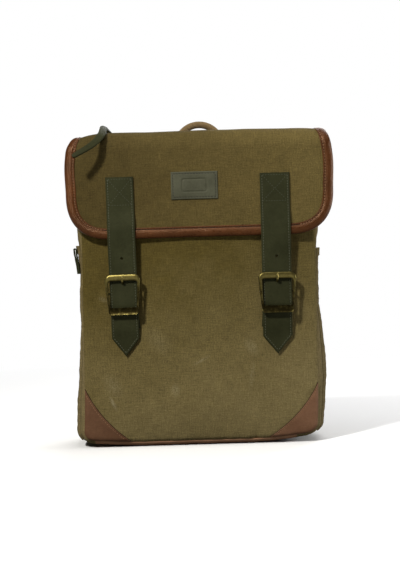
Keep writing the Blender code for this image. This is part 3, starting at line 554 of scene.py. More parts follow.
def front_half(z):
    """Half the front panel's width at a height, narrower round its bottom corners."""
    rise = clamp(z - SEAM_LIFT, 0.0, SEAM_CORNER)
    return BODY_HALF - SEAM_CORNER + math.sqrt(SEAM_CORNER**2 - (SEAM_CORNER - rise) ** 2)


def crown_share(z):
    rise = max(z - SEAM_LIFT, 0.0)
    return (1 - math.exp(-rise / CROWN_RISE)) * (1 - CROWN_TAPER * (rise / BODY_TOP) ** 2)


def lean_at(z):
    """How far the leaning body has shifted across at a height."""
    return -BODY_LEAN * max(LEAN_TOP - z, 0.0) - FOOT_SHIFT * math.exp(-max(z, 0.0) / FOOT_FADE)


def settled(point):
    """The point, shifted by the body's lean, and lifted where the bottom's ends stand off the floor."""
    rise = LEFT_END_RISE if point.x < 0 else RIGHT_END_RISE
    reach = max(abs(point.x) - END_START, 0.0) / END_REACH
    point.x += lean_at(point.z)
    point.z += rise * reach**2 * math.exp(-max(point.z, 0.0) / END_FADE)
    return point


def front_point(x, z, out=0.0):
    """A point on the front panel's outer face, or in front of it."""
    across = clamp(abs(x) / front_half(z))
    crown = FRONT_CROWN * (1 - across**CROWN_POWER) * crown_share(z)
    return settled(Vector((x, FRONT_Y - crown - out, z)))


def back_point(x, z, out=0.0):
    """A point on the back panel's outer face, or behind it."""
    across = clamp(abs(x) / front_half(z))
    crown = BACK_CROWN * (1 - across**2) * crown_share(z)
    return settled(Vector((x, BACK_Y + crown + out, z)))


def side_seam(run):
    """The front seam as (across, up), its outward direction, and how far it has turned to the side.

    The run starts where the bottom corner does.
    """
    if run < 0:
        return Vector((BODY_HALF - SEAM_CORNER + run, SEAM_LIFT)), Vector((0, -1)), 0.0
    centre = Vector((BODY_HALF - SEAM_CORNER, SEAM_LIFT + SEAM_CORNER))
    if run < CORNER_RUN:
        angle = run / SEAM_CORNER
        out = Vector((math.sin(angle), -math.cos(angle)))
        return centre + SEAM_CORNER * out, out, 2 * angle / math.pi
    return centre + Vector((SEAM_CORNER, run - CORNER_RUN)), Vector((1, 0)), 1.0


def swell_share(depth, roll):
    """How full the side or base is at a depth behind the nearer seam."""
    return math.sqrt(1 - near_edge(depth, roll))


def side_point(sign, run, share, out=0.0):
    """A point on a side panel's outer face, by run along its front seam and share of its depth."""
    seam, outward, turned = side_seam(run)
    inner_depth = BODY_DEPTH - 2 * (CANVAS + GAP)
    y = FRONT_Y + CANVAS + GAP + inner_depth * share
    column = "left" if sign < 0 else "right"
    swell = SIDE_SWELL * read_table(SWELLS, seam.y / BODY_TOP, column)
    full = SEAM_LIFT + (swell - SEAM_LIFT) * eased(turned)
    roll = BASE_ROLL + (SIDE_ROLL - BASE_ROLL) * eased(turned)
    depth = inner_depth * min(share, 1 - share)
    across = seam + outward * (full * swell_share(depth, roll) + out)
    return settled(Vector((sign * across.x, y, across.y)))


def depth_share(v):
    """Places rows closer together near both seams."""
    return (1 - math.cos(math.pi * v)) / 2


def flap_spine(run):
    """The flap's middle line as (y, z), with its outward direction, by run from the root."""
    if run < TOP_RUN:
        left = 1 - run / TOP_RUN
        slope = 2 * left * (FLAP_TOP - ROOT_Z) / TOP_RUN
        at = Vector((ROOT_Y - run, FLAP_TOP - (FLAP_TOP - ROOT_Z) * left**2))
        return at, Vector((slope, 1)).normalized()
    if run < TOP_RUN + FOLD_RUN:
        angle = (run - TOP_RUN) / FOLD_RADIUS
        out = Vector((-math.sin(angle), math.cos(angle)))
        return Vector((FOLD_START_Y, FLAP_TOP - FOLD_RADIUS)) + FOLD_RADIUS * out, out
    down = run - TOP_RUN - FOLD_RUN
    share = down / FRONT_RUN
    at = Vector((FLAP_FRONT_Y - FLAP_FLARE * share**2, FLAP_TOP - FOLD_RADIUS - down))
    return at, Vector((-1, 2 * FLAP_FLARE * share / FRONT_RUN)).normalized()


def flap_surface(x, run):
    """A point on the flap's middle surface, x from the flap's own middle."""
    at, out = flap_spine(run)
    reach = (abs(x) - CURL_START) / (FLAP_HALF - CURL_START)
    low = clamp((run - TOP_RUN - FOLD_RUN / 2) / (FLAP_RUN - TOP_RUN - FOLD_RUN))
    high_share = 1.0 if x < 0 else CURL_RIGHT_SHARE
    curl = CURL * (high_share + (CURL_LOW_SHARE - high_share) * (2 - low) * low) * max(reach, 0.0) ** 2
    at = at - out * curl
    return Vector((x + FLAP_SHIFT, at.x, at.y))


CREASE_START = Vector((0.0865, 0.351))
CREASE_END = Vector((0.1253, 0.378))


def flap_relief(x, run):
    """Soft swells of the flap's canvas, with the slanting crease over the right strap."""
    z = FLAP_TOP - FOLD_RADIUS - (run - TOP_RUN - FOLD_RUN)
    calm = eased((FLAP_HALF - abs(x)) / 0.040) * eased((FLAP_RUN - run) / 0.030)
    relief = 0.0009 * lumps(x, z, 0.070, 2.3) + 0.0004 * lumps(x, z, 0.026, 5.1)
    way = CREASE_END - CREASE_START
    at = Vector((x + FLAP_SHIFT, z)) - CREASE_START
    share = clamp(at.dot(way) / way.length_squared)
    side = (at - way * share).length
    crease = 0.0007 * hump(side, 0.0035) * eased(0.3 + 2 * share) * eased(2.4 - 2 * share)
    return relief * calm + crease


def flap_point(x, run, out=0.0):
    """A point off the flap's middle surface, along its outward normal."""
    step = 0.0005
    across = flap_surface(x + step, run) - flap_surface(x - step, run)
    along = flap_surface(x, run + step) - flap_surface(x, run - step)
    rise = out + flap_relief(x, run)
    return flap_surface(x, run) + along.cross(across).normalized() * rise


def flap_run_at(z):
    """The run from the root at a height on the flap's front."""
    return TOP_RUN + FOLD_RUN + FLAP_TOP - FOLD_RADIUS - z


def flap_edge(share):
    """The flap's half width and run, by share: straight down first, then round the corner."""
    straight = FLAP_RUN - FLAP_CORNER
    if share <= STRAIGHT_SHARE:
        run = straight * share / STRAIGHT_SHARE
        return FLAP_HALF * read_table(FLAP_EDGE, run / FLAP_RUN, "half"), run
    angle = (share - STRAIGHT_SHARE) / (1 - STRAIGHT_SHARE) * math.pi / 2
    full = FLAP_HALF * read_table(FLAP_EDGE, straight / FLAP_RUN, "half")
    half = full - FLAP_CORNER + FLAP_CORNER * max(math.cos(angle), 0.0) ** FLAP_CORNER_POWER
    return half, straight + FLAP_CORNER * math.sin(angle) ** FLAP_CORNER_POWER


def binding_outline(share):
    """The flap's whole edge as (x, run): down the left, along the bottom and up the right."""
    side_share = 0.4
    if share < side_share:
        half, run = flap_edge(share / side_share)
        return Vector((-half, run))
    if share > 1 - side_share:
        half, run = flap_edge((1 - share) / side_share)
        return Vector((half, run))
    half, run = flap_edge(1.0)
    return Vector((half * (2 * (share - side_share) / (1 - 2 * side_share) - 1), run))


def seam_distance(x, z):
    """How far inside the front seam a point is."""
    across = BODY_HALF - SEAM_CORNER - abs(x)
    up = z - SEAM_LIFT - SEAM_CORNER
    if across < 0 and up < 0:
        return SEAM_CORNER - math.hypot(across, up)
    return min(BODY_HALF - abs(x), z - SEAM_LIFT)


# Where the straps press the front, from the middle
STRAP_MIDDLE = 0.097

# Puckers at the bottom seam: where, how wide and how deep
PUCKERS = table(
    "middle width depth",
    (0.0336, 0.0030, 0.0016), (0.0718, 0.0036, 0.0020),
    (-0.0520, 0.0040, 0.0008), (-0.0060, 0.0040, 0.0006),
)


def front_relief(x, z):
    """Soft swells of the filled front, its edges turned in at the seam, and the seam's puckers."""
    inside = max(seam_distance(x, z), 0.0)
    strap = hump(max(abs(abs(x) - STRAP_MIDDLE) - 0.016, 0.0), 0.012) * eased((z - 0.095) / 0.02)
    broad = 0.0013 * lumps(x, z, 0.085, 11.2) + 0.0005 * lumps(x, z, 0.030, 4.4)
    relief = broad * eased(inside / 0.030) * (1 - strap) - 0.0003 * strap
    relief -= 0.0024 * near_edge(inside, 0.0045)
    relief += 0.0005 * lumps(x, z, 0.011, 8.8) * math.exp(-inside / 0.010)
    for middle, width, depth in PUCKERS:
        low = z - SEAM_LIFT
        relief -= depth * hump(x - middle + 0.25 * low, width + 0.2 * low) * math.exp(-low / 0.009)
    return relief


def front_skin(x, z, out=0.0):
    """A point on the dressed front, or in front of it."""
    return front_point(x, z, out + front_relief(x, z))


def side_relief(sign, run, share):
    """Soft swells and slanting drag lines of a side, its edges turned in at the seams."""
    depth = BODY_DEPTH * min(share, 1 - share)
    y = BODY_DEPTH * share
    relief = 0.0014 * lumps(y, run, 0.050, 21.7 + sign)
    relief += 0.0007 * lumps(y * 0.5 + run, run * 3, 0.022, 3.9 + sign)
    relief *= eased(depth / 0.016)
    relief += 0.0006 * lumps(y * 0.3, run, 0.009, 6.6 + sign) * math.exp(-depth / 0.008)
    return relief - 0.0020 * near_edge(depth, 0.0040)


def set_input(tree, socket, value):
    """Links another node's socket, or sets a constant."""
    if isinstance(value, bpy.types.NodeSocket):
        tree.links.new(value, socket)
    else:
        socket.default_value = value


def add_node(tree, kind, inputs=None, **settings):
    """A shader node with its inputs and settings."""
    made = tree.nodes.new("ShaderNode" + kind)
    for name, value in settings.items():
        setattr(made, name, value)
    for name, value in (inputs or {}).items():
        set_input(tree, made.inputs[name], value)
    return made


class Look:
    """A material's nodes, made one line at a time."""

    def __init__(self, name, roughness, metallic=0.0):
        self.material = bpy.data.materials.new(name)
        self.material.use_nodes = True
        self.tree = self.material.node_tree
        self.shader = self.tree.nodes["Principled BSDF"]
        self.shader.inputs["Roughness"].default_value = roughness
        self.shader.inputs["Metallic"].default_value = metallic

    def node(self, kind, inputs=None, **settings):
        return add_node(self.tree, kind, inputs, **settings)

    def set(self, socket, value):
        set_input(self.tree, socket, value)

    def maths(self, operation, first, second=0.0, third=0.0, clamped=False):
        made = self.node("Math", operation=operation, use_clamp=clamped)
        for socket, value in zip(made.inputs, (first, second, third)):
            self.set(socket, value)
        return made.outputs[0]

    def vectors(self, operation, first, second=(0, 0, 0)):
        return self.node("VectorMath", {0: first, 1: second}, operation=operation)

    def place(self, attribute=None):
        """The flat pattern's place, or the place in the object."""
        if attribute:
            return self.node("Attribute", attribute_name=attribute).outputs["Vector"]
        return self.node("TexCoord").outputs["Object"]

    def stretch(self, vector, scale, shift=(0, 0, 0), turn=0.0):
        made = self.node("Mapping", {"Vector": vector, "Scale": scale, "Location": shift})
        made.inputs["Rotation"].default_value = (0, 0, turn)
        return made.outputs[0]

    def noise(self, vector, scale, detail=2.0, rough=0.5):
        inputs = {"Vector": vector, "Scale": scale, "Detail": detail, "Roughness": rough}
        return self.node("TexNoise", inputs).outputs["Fac"]

    def span(self, value, low, high, new_low=0.0, new_high=1.0):
        inputs = {"Value": value, "From Min": low, "From Max": high}
        inputs |= {"To Min": new_low, "To Max": new_high}
        return self.node("MapRange", inputs, clamp=True).outputs["Result"]

    def mix(self, share, first, second, blend="MIX"):
        made = self.node("Mix", data_type="RGBA", blend_type=blend)
        self.set(made.inputs[0], share)
        self.set(made.inputs[6], first if isinstance(first, bpy.types.NodeSocket) else (*first, 1))
        self.set(made.inputs[7], second if isinstance(second, bpy.types.NodeSocket) else (*second, 1))
        return made.outputs[2]

    def shade(self, colour, share):
        """The colour times a share that varies over the surface."""
        made = self.node("VectorMath", {0: colour}, operation="SCALE")
        self.set(made.inputs["Scale"], share)
        return made.outputs[0]

    def bump(self, height, distance, strength=1.0, before=None):
        made = self.node("Bump", {"Height": height, "Distance": distance, "Strength": strength})
        if before:
            self.set(made.inputs["Normal"], before)
        return made.outputs[0]

    def done(self, colour, normal=None, roughness=None):
        self.set(self.shader.inputs["Base Color"], colour)
        if normal:
            self.set(self.shader.inputs["Normal"], normal)
        if roughness:
            self.set(self.shader.inputs["Roughness"], roughness)
        return self.material


def linear(red, green, blue):
    """A colour as shown on a screen, 0 to 255, in linear light."""
    shown = [value / 255 for value in (red, green, blue)]
    return tuple(v / 12.92 if v <= 0.04045 else ((v + 0.055) / 1.055) ** 2.4 for v in shown)


FRONT_SCUFFS = table(
    "x y wide high turn strength",
    (-0.1225, 0.1880, 0.006, 0.003, 0.4, 0.38), (-0.1120, 0.0780, 0.010, 0.016, -0.5, 0.26),
    (-0.1120, 0.0560, 0.0026, 0.010, -0.5, 0.62), (-0.0330, 0.0710, 0.006, 0.008, 0.0, 0.34),
    (0.0010, 0.1080, 0.011, 0.0022, -0.5, 0.42), (0.0640, 0.1230, 0.007, 0.012, -0.6, 0.32),
    (0.0640, 0.0880, 0.0035, 0.018, 0.1, 0.24), (-0.0520, 0.1330, 0.020, 0.012, 0.8, 0.16),
)


def canvas_look(name, dark, light, slope, offset, scuffs=(), weave=0.00085):
    """Waxed canvas: slubby threads both ways, tone that changes at random, painted light and shade
    along a slope, and light scuffs.
    """
    look = Look(name, 0.86)
    cloth = look.place("cloth")
    across = look.noise(look.stretch(cloth, (70, 820, 1)), 1.0, 2.0, 0.6)
    upward = look.noise(look.stretch(cloth, (820, 80, 1), (3.1, 1.7, 0)), 1.0, 2.0, 0.6)
    specks = look.noise(cloth, 620.0, 2.0, 0.6)
    broad = look.noise(cloth, 17.0, 3.0, 0.6)
    middle = look.noise(look.stretch(cloth, (1, 1, 1), (0.4, 0.7, 0)), 70.0, 3.0, 0.65)
    # Painted light and shade: the colour grows lighter along the slope, as where more light falls
    slant = look.vectors("DOT_PRODUCT", cloth, (*slope, 0)).outputs["Value"]
    tone_and_painted_light = look.maths("ADD", slant, offset)
    tone_and_painted_light = look.maths("MULTIPLY_ADD", look.maths("SUBTRACT", broad, 0.5), 0.55, tone_and_painted_light, clamped=True)
    colour = look.mix(tone_and_painted_light, dark, light)
    across_tone, upward_tone = (look.span(value, 0.25, 0.75, 0.60, 1.4) for value in (across, upward))
    threads = look.maths("ADD", across_tone, upward_tone)
    threads = look.maths("MULTIPLY", threads, 0.5)
    threads = look.maths("MULTIPLY", threads, look.span(specks, 0.2, 0.8, 0.64, 1.36))
    threads = look.maths("MULTIPLY", threads, look.span(middle, 0.2, 0.8, 0.92, 1.08))
    colour = look.shade(colour, threads)
    if scuffs:
        broken = look.span(look.maths("ADD", upward, specks), 0.88, 1.16)
        total = None
        for scuff in scuffs:
            moved = look.vectors("SUBTRACT", cloth, (scuff.x, scuff.y, 0)).outputs[0]
            inputs = {"Vector": moved, "Angle": scuff.turn}
            turned = look.node("VectorRotate", inputs, rotation_type="Z_AXIS").outputs[0]
            scaled = look.vectors("MULTIPLY", turned, (1 / scuff.wide, 1 / scuff.high, 0)).outputs[0]
            far = look.vectors("LENGTH", scaled).outputs["Value"]
            mark = look.span(far, 0.1, 1.3, scuff.strength, 0.0)
            total = mark if total is None else look.maths("MAXIMUM", total, mark)
        share = look.maths("MULTIPLY", total, look.maths("MULTIPLY_ADD", broken, 0.8, 0.2))
        colour = look.mix(share, colour, linear(160, 150, 118))
    x, y, _ = look.node("SeparateXYZ", {0: cloth}).outputs
    turns = 2 * math.pi / weave
    weft = look.maths("SINE", look.maths("MULTIPLY", x, turns))
    warp = look.maths("SINE", look.maths("MULTIPLY", y, turns))
    height = look.maths("MULTIPLY", weft, warp)
    normal = look.bump(height, 0.00022, 0.5)
    normal = look.bump(look.maths("ADD", across, upward), 0.0009, 0.35, normal)
    normal = look.bump(middle, 0.004, 0.16, normal)
    look.shader.inputs["Specular IOR Level"].default_value = 0.12
    return look.done(colour, normal)


def leather_look(name, colour, worn, roughness, grain=0.0011, gloss=0.45, mottle=0.35, tint=(1, 1, 1)):
    """Leather: pebbled grain, uneven dye and slightly uneven gloss."""
    look = Look(name, roughness)
    place = look.place()
    cells = look.node(
        "TexVoronoi", {"Vector": place, "Scale": 1 / grain}, feature="DISTANCE_TO_EDGE"
    ).outputs["Distance"]
    broad = look.noise(place, 32.0, 4.0, 0.6)
    fine = look.noise(place, 420.0, 3.0, 0.6)
    dye = look.mix(look.span(broad, 0.3, 0.75, 0.0, mottle + 0.35), colour, worn)
    dye = look.shade(dye, look.span(fine, 0.2, 0.8, 0.84, 1.14))
    normal = look.bump(look.span(cells, 0.0, 0.25), 0.00016, 0.55)
    normal = look.bump(fine, 0.0006, 0.4, normal)
    rough = look.span(fine, 0.2, 0.8, roughness - 0.08, roughness + 0.10)
    look.shader.inputs["Specular IOR Level"].default_value = gloss
    look.shader.inputs["Specular Tint"].default_value = (*tint, 1)
    return look.done(dye, normal, rough)


def brass_look(name):
    """Antique brass: dark in the hollows, bright where it rubs, and brighter where a highlight is
    painted on the buckles' top bars.
    """
    look = Look(name, 0.34, 1.0)
    place = look.place()
    worn = look.node("Attribute", attribute_name="wear_and_highlight").outputs["Fac"]
    patches = look.noise(place, 240.0, 4.0, 0.65)
    fine = look.noise(place, 1500.0, 2.0, 0.6)
    share = look.maths("MULTIPLY_ADD", look.maths("SUBTRACT", patches, 0.5), 0.7, worn, clamped=True)
    colour = look.mix(share, linear(44, 38, 18), linear(176, 160, 92))
    rough = look.span(look.maths("ADD", patches, share), 0.4, 1.6, 0.46, 0.27)
    return look.done(colour, look.bump(fine, 0.0004, 0.25), rough)


def thread_look(name, colour):
    """Sewing thread with a fine twist."""
    look = Look(name, 0.75)
    twist = look.noise(look.place(), 1800.0, 1.0, 0.5)
    tone = look.span(twist, 0.3, 0.7, 0.75, 1.15)
    return look.done(look.shade(look.mix(0.0, colour, colour), tone))


def webbing_look(name, colour, pitch):
    """Woven webbing: rows of slanting threads."""
    look = Look(name, 0.82)
    cloth = look.place("cloth")
    x, y, _ = look.node("SeparateXYZ", {0: cloth}).outputs
    turns = 2 * math.pi / pitch
    zigzag = look.maths("ADD", y, look.maths("PINGPONG", x, pitch))
    slant, ribs = (look.maths("SINE", look.maths("MULTIPLY", value, turns)) for value in (zigzag, x))
    weave = look.maths("MULTIPLY", slant, ribs)
    patches = look.noise(cloth, 240.0, 3.0, 0.6)
    uneven = look.span(patches, 0.2, 0.8, 0.85, 1.15)
    tone = look.maths("MULTIPLY", look.span(weave, -1, 1, 0.72, 1.18), uneven)
    colour = look.shade(look.mix(0.0, colour, colour), tone)
    return look.done(colour, look.bump(weave, 0.0005, 0.7))


# Painted light on the front: lighter towards the bottom and the right
CANVAS_FRONT = canvas_look(
    "canvas_front", linear(82, 70, 31), linear(130, 116, 77), (1.2, -3.6), 0.90, FRONT_SCUFFS
)
# Painted shade on the flap: darker on the left, lighter on the right
CANVAS_FLAP = canvas_look("canvas_flap", linear(64, 53, 24), linear(102, 88, 49), (2.4, 0.0), 0.5)
# Painted light on the body: lighter towards the bottom
CANVAS_BODY = canvas_look("canvas_body", linear(96, 83, 50), linear(122, 108, 74), (0.0, -2.0), 0.9)
BINDING_BROWN = leather_look(
    "leather_binding", linear(58, 31, 13), linear(94, 54, 27), 0.30, gloss=0.38, tint=(1.0, 0.60, 0.36)
)
PATCH_BROWN = leather_look("leather_patch", linear(90, 61, 42), linear(118, 86, 62), 0.6, gloss=0.14)
# A copy of the patch leather painted lighter for the right patch, as if more light falls there
PATCH_PAINTED_LIGHTER = leather_look(
    "leather_patch_painted_lighter", linear(112, 79, 57), linear(142, 106, 80), 0.6, gloss=0.14
)
# The base's leather is painted much lighter than its own colour, standing in for light bounced up from
# the floor
BASE_PAINTED_LIGHT = leather_look("leather_base_painted_light", linear(170, 126, 96), linear(200, 156, 122), 0.6, gloss=0.14)
STRAP_GREEN = leather_look("leather_green", linear(42, 43, 25), linear(58, 59, 38), 0.6, gloss=0.05)
LABEL_SLATE = leather_look("leather_slate", linear(64, 64, 48), linear(88, 88, 70), 0.6, gloss=0.15)
BRASS = brass_look("antique_brass")
WEBBING = webbing_look("webbing_tan", linear(128, 104, 66), 0.0016)
ZIP_BLACK = webbing_look("zip_black", linear(26, 25, 22), 0.0012)
PALE_THREAD = thread_look("thread_pale", linear(78, 80, 62))
BROWN_THREAD = thread_look("thread_brown", linear(146, 106, 72))
# Dark lines: the patches' dark cut edges with painted shadow beside them, and painted shade in the
# binding's groove
EDGE_DARK_AND_SHADE = leather_look("leather_edge_and_painted_shade", linear(30, 17, 10), linear(44, 26, 16), 0.7, gloss=0.1)
DIM_THREAD = thread_look("thread_dim", linear(60, 62, 44))
DARK_THREAD = thread_look("thread_dark", linear(28, 25, 19))
OLIVE_THREAD = thread_look("thread_olive", linear(84, 72, 42))


def corner_grid(u, v, turn, top, half_width=BODY_HALF):
    """Where a grid over a panel with round bottom corners puts x and z."""
    if v < turn:
        angle = v / turn * math.pi / 2
        half = half_width - SEAM_CORNER + SEAM_CORNER * math.sin(angle)
        z = SEAM_LIFT + SEAM_CORNER * (1 - math.cos(angle))
    else:
        half = half_width
        low = SEAM_LIFT + SEAM_CORNER
        z = low + (top - low) * (v - turn) / (1 - turn)
    return half * (2 * u - 1), z


def make_front_panel():
    """The front's canvas, its columns closer together at the sides."""

    def place(u, v):
        return corner_grid(u, v, 0.07, BODY_TOP)

    us = [depth_share(u) * 0.25 + u * 0.75 for u in spread(170)]
    slab(
        "front_canvas", us, spread(190), lambda u, v, height: front_skin(*place(u, v), height),
        0.0, -CANVAS, "canvas", CANVAS_FRONT,
        lambda u, v: (*place(u, v), 0.0), stands_for=["front_panel"],
    )


def make_back_panel():
    """The back's canvas, with round top corners."""
    turn = 0.14

    def place(u, v):
        x, z = corner_grid(u, min(v, 1 - turn) / (1 - turn), 0.08, BACK_TOP - BACK_CORNER)
        if v > 1 - turn:
            angle = (v - 1 + turn) / turn * math.pi / 2
            x *= 1 - BACK_CORNER / BODY_HALF * (1 - math.cos(angle))
            z += BACK_CORNER * math.sin(angle)
        return x, z

    def at(u, v, height):
        x, z = place(u, v)
        inside = max(min(seam_distance(x, z), BACK_TOP - z), 0.0)
        relief = 0.0007 * lumps(x, z, 0.060, 31.5) * eased(inside / 0.03)
        relief -= 0.0020 * near_edge(inside, 0.004)
        return back_point(x, z, height + relief)

    slab(
        "back_canvas", spread(90), spread(110), at, 0.0, -CANVAS,
        "canvas", CANVAS_BODY, lambda u, v: (*place(u, v), 0.0), stands_for=["back_panel"],
    )


CORNER_SHARE = 0.14


def side_run_of(side, u):
    """The run along the seam, with more steps round the bottom corner."""
    low = side.base_end + GAP - BODY_HALF + SEAM_CORNER
    if u < CORNER_SHARE:
        return low + (CORNER_RUN - low) * u / CORNER_SHARE
    return CORNER_RUN + SIDE_RUN * (u - CORNER_SHARE) / (1 - CORNER_SHARE)


def make_side_panel(side):
    def at(u, v, height):
        run, share = side_run_of(side, u), depth_share(v)
        return side_point(side.sign, run, share, height + side_relief(side.sign, run, share))

    slab(
        f"side_canvas_{side.name}", spread(170), spread(56), at, 0.0, -CANVAS,
        "canvas", CANVAS_BODY, lambda u, v: (depth_share(v) * BODY_DEPTH, side_run_of(side, u), 0.0),
        stands_for=[f"side_panel_{side.name}"],
    )


HEM = 0.011
POCKET_EDGE = 0.006


def make_side_pocket(side):
    foot = CORNER_RUN / 2
    top = CORNER_RUN + side.pocket_top - SEAM_LIFT - SEAM_CORNER
    inset = POCKET_INSET / BODY_DEPTH

    def lift(run, share):
        deep = min(share - inset, 1 - inset - share) * BODY_DEPTH
        slack = POCKET_SLACK * math.sin(math.pi * share) * eased((run - foot) / (top - foot))
        folds = 0.0011 * lumps(share * 3, run * 9, 0.30, 14.1 + side.sign) * eased(deep / 0.014)
        hem = 0.0007 * eased((run - top + HEM) / 0.0008)
        groove = 0.0006 * hump(run - top + HEM + 0.0006, 0.0012)
        edge = 1 - 0.75 * near_edge(deep, POCKET_EDGE)
        return (2 * GAP + slack + CANVAS) * edge + max(folds, -0.0002) + (hem - groove) * edge

    def inner(run, share):
        return max(lift(run, share) - CANVAS, GAP / 2)

    def at(run, share, height):
        relief = side_relief(side.sign, run, share)
        return side_point(side.sign, run, share, height + relief)

    def on_cloth(run, share, height):
        return at(run, share, height + lift(run, share))

    us = spread(108, foot, top)
    vs = [inset + (1 - 2 * inset) * depth_share(v) for v in spread(44)]
    slab(
        f"pocket_canvas_{side.name}", us, vs, at, lift, inner,
        "canvas", CANVAS_BODY, lambda run, share: (share * BODY_DEPTH, run, 0.02),
        stands_for=[f"side_pocket_{side.name}"],
    )
    thread = Thread()
    for row in (HEM - 0.0016, 0.0022):
        path = [(top - row, inset + (1 - 2 * inset) * k / 60) for k in range(1, 60)]
        thread.run(on_cloth, path, 0.0)
    for share in (inset + 0.03, 1 - inset - 0.03):
        path = [(run, share) for run in us[2:-2]]
        thread.run(on_cloth, path, 0.0)
    thread.piece(f"stitches_pocket_{side.name}", "canvas", OLIVE_THREAD)


def base_point(x, y, height=0.0):
    depth = BODY_DEPTH / 2 - CANVAS - GAP
    z = SEAM_LIFT * (1 - swell_share(depth - abs(y), BASE_ROLL))
    lean = clamp(1 - (depth - abs(y)) / BASE_ROLL)
    out = Vector((0, math.copysign(lean, y) if lean else 0.0, lean - 1)).normalized()
    wobble = 0.0004 * lumps(x, y, 0.016, 9.9) * eased(lean * 3)
    return settled(Vector((x, y, z)) + out * (height + wobble))


def make_base():
    depth = BODY_DEPTH / 2 - CANVAS - GAP

    def at(x, v, height):
        return base_point(x, depth * (2 * depth_share(v) - 1), height)

    # Its leather is painted light, as if lit from below
    slab(
        "base_hide", spread(120, -SIDES[0].base_end, SIDES[1].base_end), spread(50), at,
        0.0, -BASE_LEATHER, "brown_leather", BASE_PAINTED_LIGHT, stands_for=["base_leather"],
    )


# Radius of the dark lines along the patches' raw edges, partly the edge's own dark and partly painted
# shadow, and of the painted shade in the binding's groove
EDGE_LINE = 0.00055


def make_corner_patch(side):
    """A leather patch between the seam round the corner and a hollow curve."""
    low = SEAM_LIFT + SEAM_CORNER
    up_run = PATCH_HEIGHT - SEAM_CORNER
    flat_run = PATCH_WIDTH - SEAM_CORNER
    whole = up_run + CORNER_RUN + flat_run

    def rim(run):
        if run < up_run:
            return BODY_HALF - PATCH_TRIM, low + up_run - run
        if run < up_run + CORNER_RUN:
            angle = (run - up_run) / SEAM_CORNER
            across = BODY_HALF - SEAM_CORNER + (SEAM_CORNER - PATCH_TRIM) * math.cos(angle)
            return across, low - (SEAM_CORNER - PATCH_TRIM) * math.sin(angle)
        return BODY_HALF - SEAM_CORNER - (run - up_run - CORNER_RUN), SEAM_LIFT + PATCH_TRIM

    def hollow(share):
        start = Vector((0.0, PATCH_HEIGHT))
        pull = Vector((PATCH_HOLLOW_ACROSS, PATCH_HOLLOW_UP))
        end = Vector((PATCH_WIDTH, 0.0))
        at = (1 - share) ** 2 * start + 2 * share * (1 - share) * pull + share**2 * end
        return BODY_HALF - at.x, SEAM_LIFT + at.y

    def place(u, v):
        share = PATCH_END + (1 - 2 * PATCH_END) * u
        outer_x, outer_z = rim(whole * share)
        inner_x, inner_z = hollow(share)
        return outer_x + (inner_x - outer_x) * v, outer_z + (inner_z - outer_z) * v

    def at(u, v, height):
        x, z = place(u, v)
        return front_skin(side.sign * x, z, height)

    def width(u):
        (ax, az), (bx, bz) = place(u, 0.0), place(u, 1.0)
        return max(math.hypot(ax - bx, az - bz), 0.001)

    def top(u, v):
        edge = (1 - v) * width(u)
        groove = 0.00025 * hump(edge - STITCH_INSET, 0.0007)
        return 2 * GAP + PATCH_LEATHER * (1 - 0.6 * near_edge(edge, 0.0008)) - groove

    vs = [0.0, 0.06, 0.15, 0.3, 0.45, 0.6] + [1 - 0.4 * (1 - k / 12) ** 1.6 for k in range(1, 13)]
    # The right patch takes the copy painted lighter, standing in for stronger light on that side
    slab(
        f"corner_hide_{side.name}", spread(90), vs, at, top, GAP,
        "brown_leather", PATCH_BROWN if side.sign < 0 else PATCH_PAINTED_LIGHTER,
        stands_for=[f"corner_patch_{side.name}"],
    )
    # A dark line along the hollow edge: the leather's dark cut edge and a painted shadow where it meets
    # the canvas
    points = [at(u, 1.0, 2 * GAP + 0.0002) for u in spread(90)]
    rings = tube_rings(points, even(EDGE_LINE), sides=6)
    loft(f"corner_edge_{side.name}", rings, "brown_leather", EDGE_DARK_AND_SHADE)
    thread = Thread()
    path = [(u, 1 - STITCH_INSET / width(u)) for u in spread(80, 0.07, 0.93)]
    thread.run(at, path, 2 * GAP + PATCH_LEATHER - STITCH_SINK, **PATCH_STITCH)
    thread.piece(f"stitches_patch_{side.name}", "brown_leather", BROWN_THREAD)


def make_flap():
    """The flap's cloth, from its root over the fold to the hem."""

    def at(u, v, height):
        half, run = flap_edge(v)
        return flap_point(-math.cos(math.pi * u) * half, run, height)

    def flat(u, v):
        half, run = flap_edge(v)
        return -math.cos(math.pi * u) * half, FLAP_TOP - run, 0.0

    vs = spread(110, 0.0, STRAIGHT_SHARE)[:-1] + spread(50, STRAIGHT_SHARE, 1.0)
    flap = slab(
        "flap_cloth", spread(190), vs, at,
        FLAP_CANVAS / 2, -FLAP_CANVAS / 2, "canvas", CANVAS_FLAP, flat, stands_for=["flap"],
    )


# The rolled leather edge from its inner lip round to the back: distance in from the edge, and height
BINDING_ROLL = (
    (0.01150, 0.0013), (0.01155, 0.0019), (0.01110, 0.0023), (0.01030, 0.0024), (0.00970, 0.0021),
    (0.00920, 0.0019), (0.00870, 0.0022), (0.00800, 0.0027), (0.00650, 0.0032), (0.00480, 0.0034),
    (0.00300, 0.0034), (0.00120, 0.0030), (-0.00040, 0.0022), (-0.00160, 0.0012), (-0.00200, 0.0),
    (-0.00160, -0.0012), (-0.00040, -0.0021), (0.00200, -0.0026), (0.00600, -0.0027),
    (0.01100, -0.0025), (0.01150, -0.0013), (0.00030, -0.0013), (0.0, 0.0), (0.00030, 0.0013),
)
BINDING_STITCH = 0.0092


def binding_frame(u):
    """The edge's place and the direction inward from it."""
    step = 0.0015
    here = binding_outline(u)
    ahead = binding_outline(min(u + step, 1.0)) - binding_outline(max(u - step, 0.0))
    return here, Vector((ahead.y, -ahead.x)).normalized()


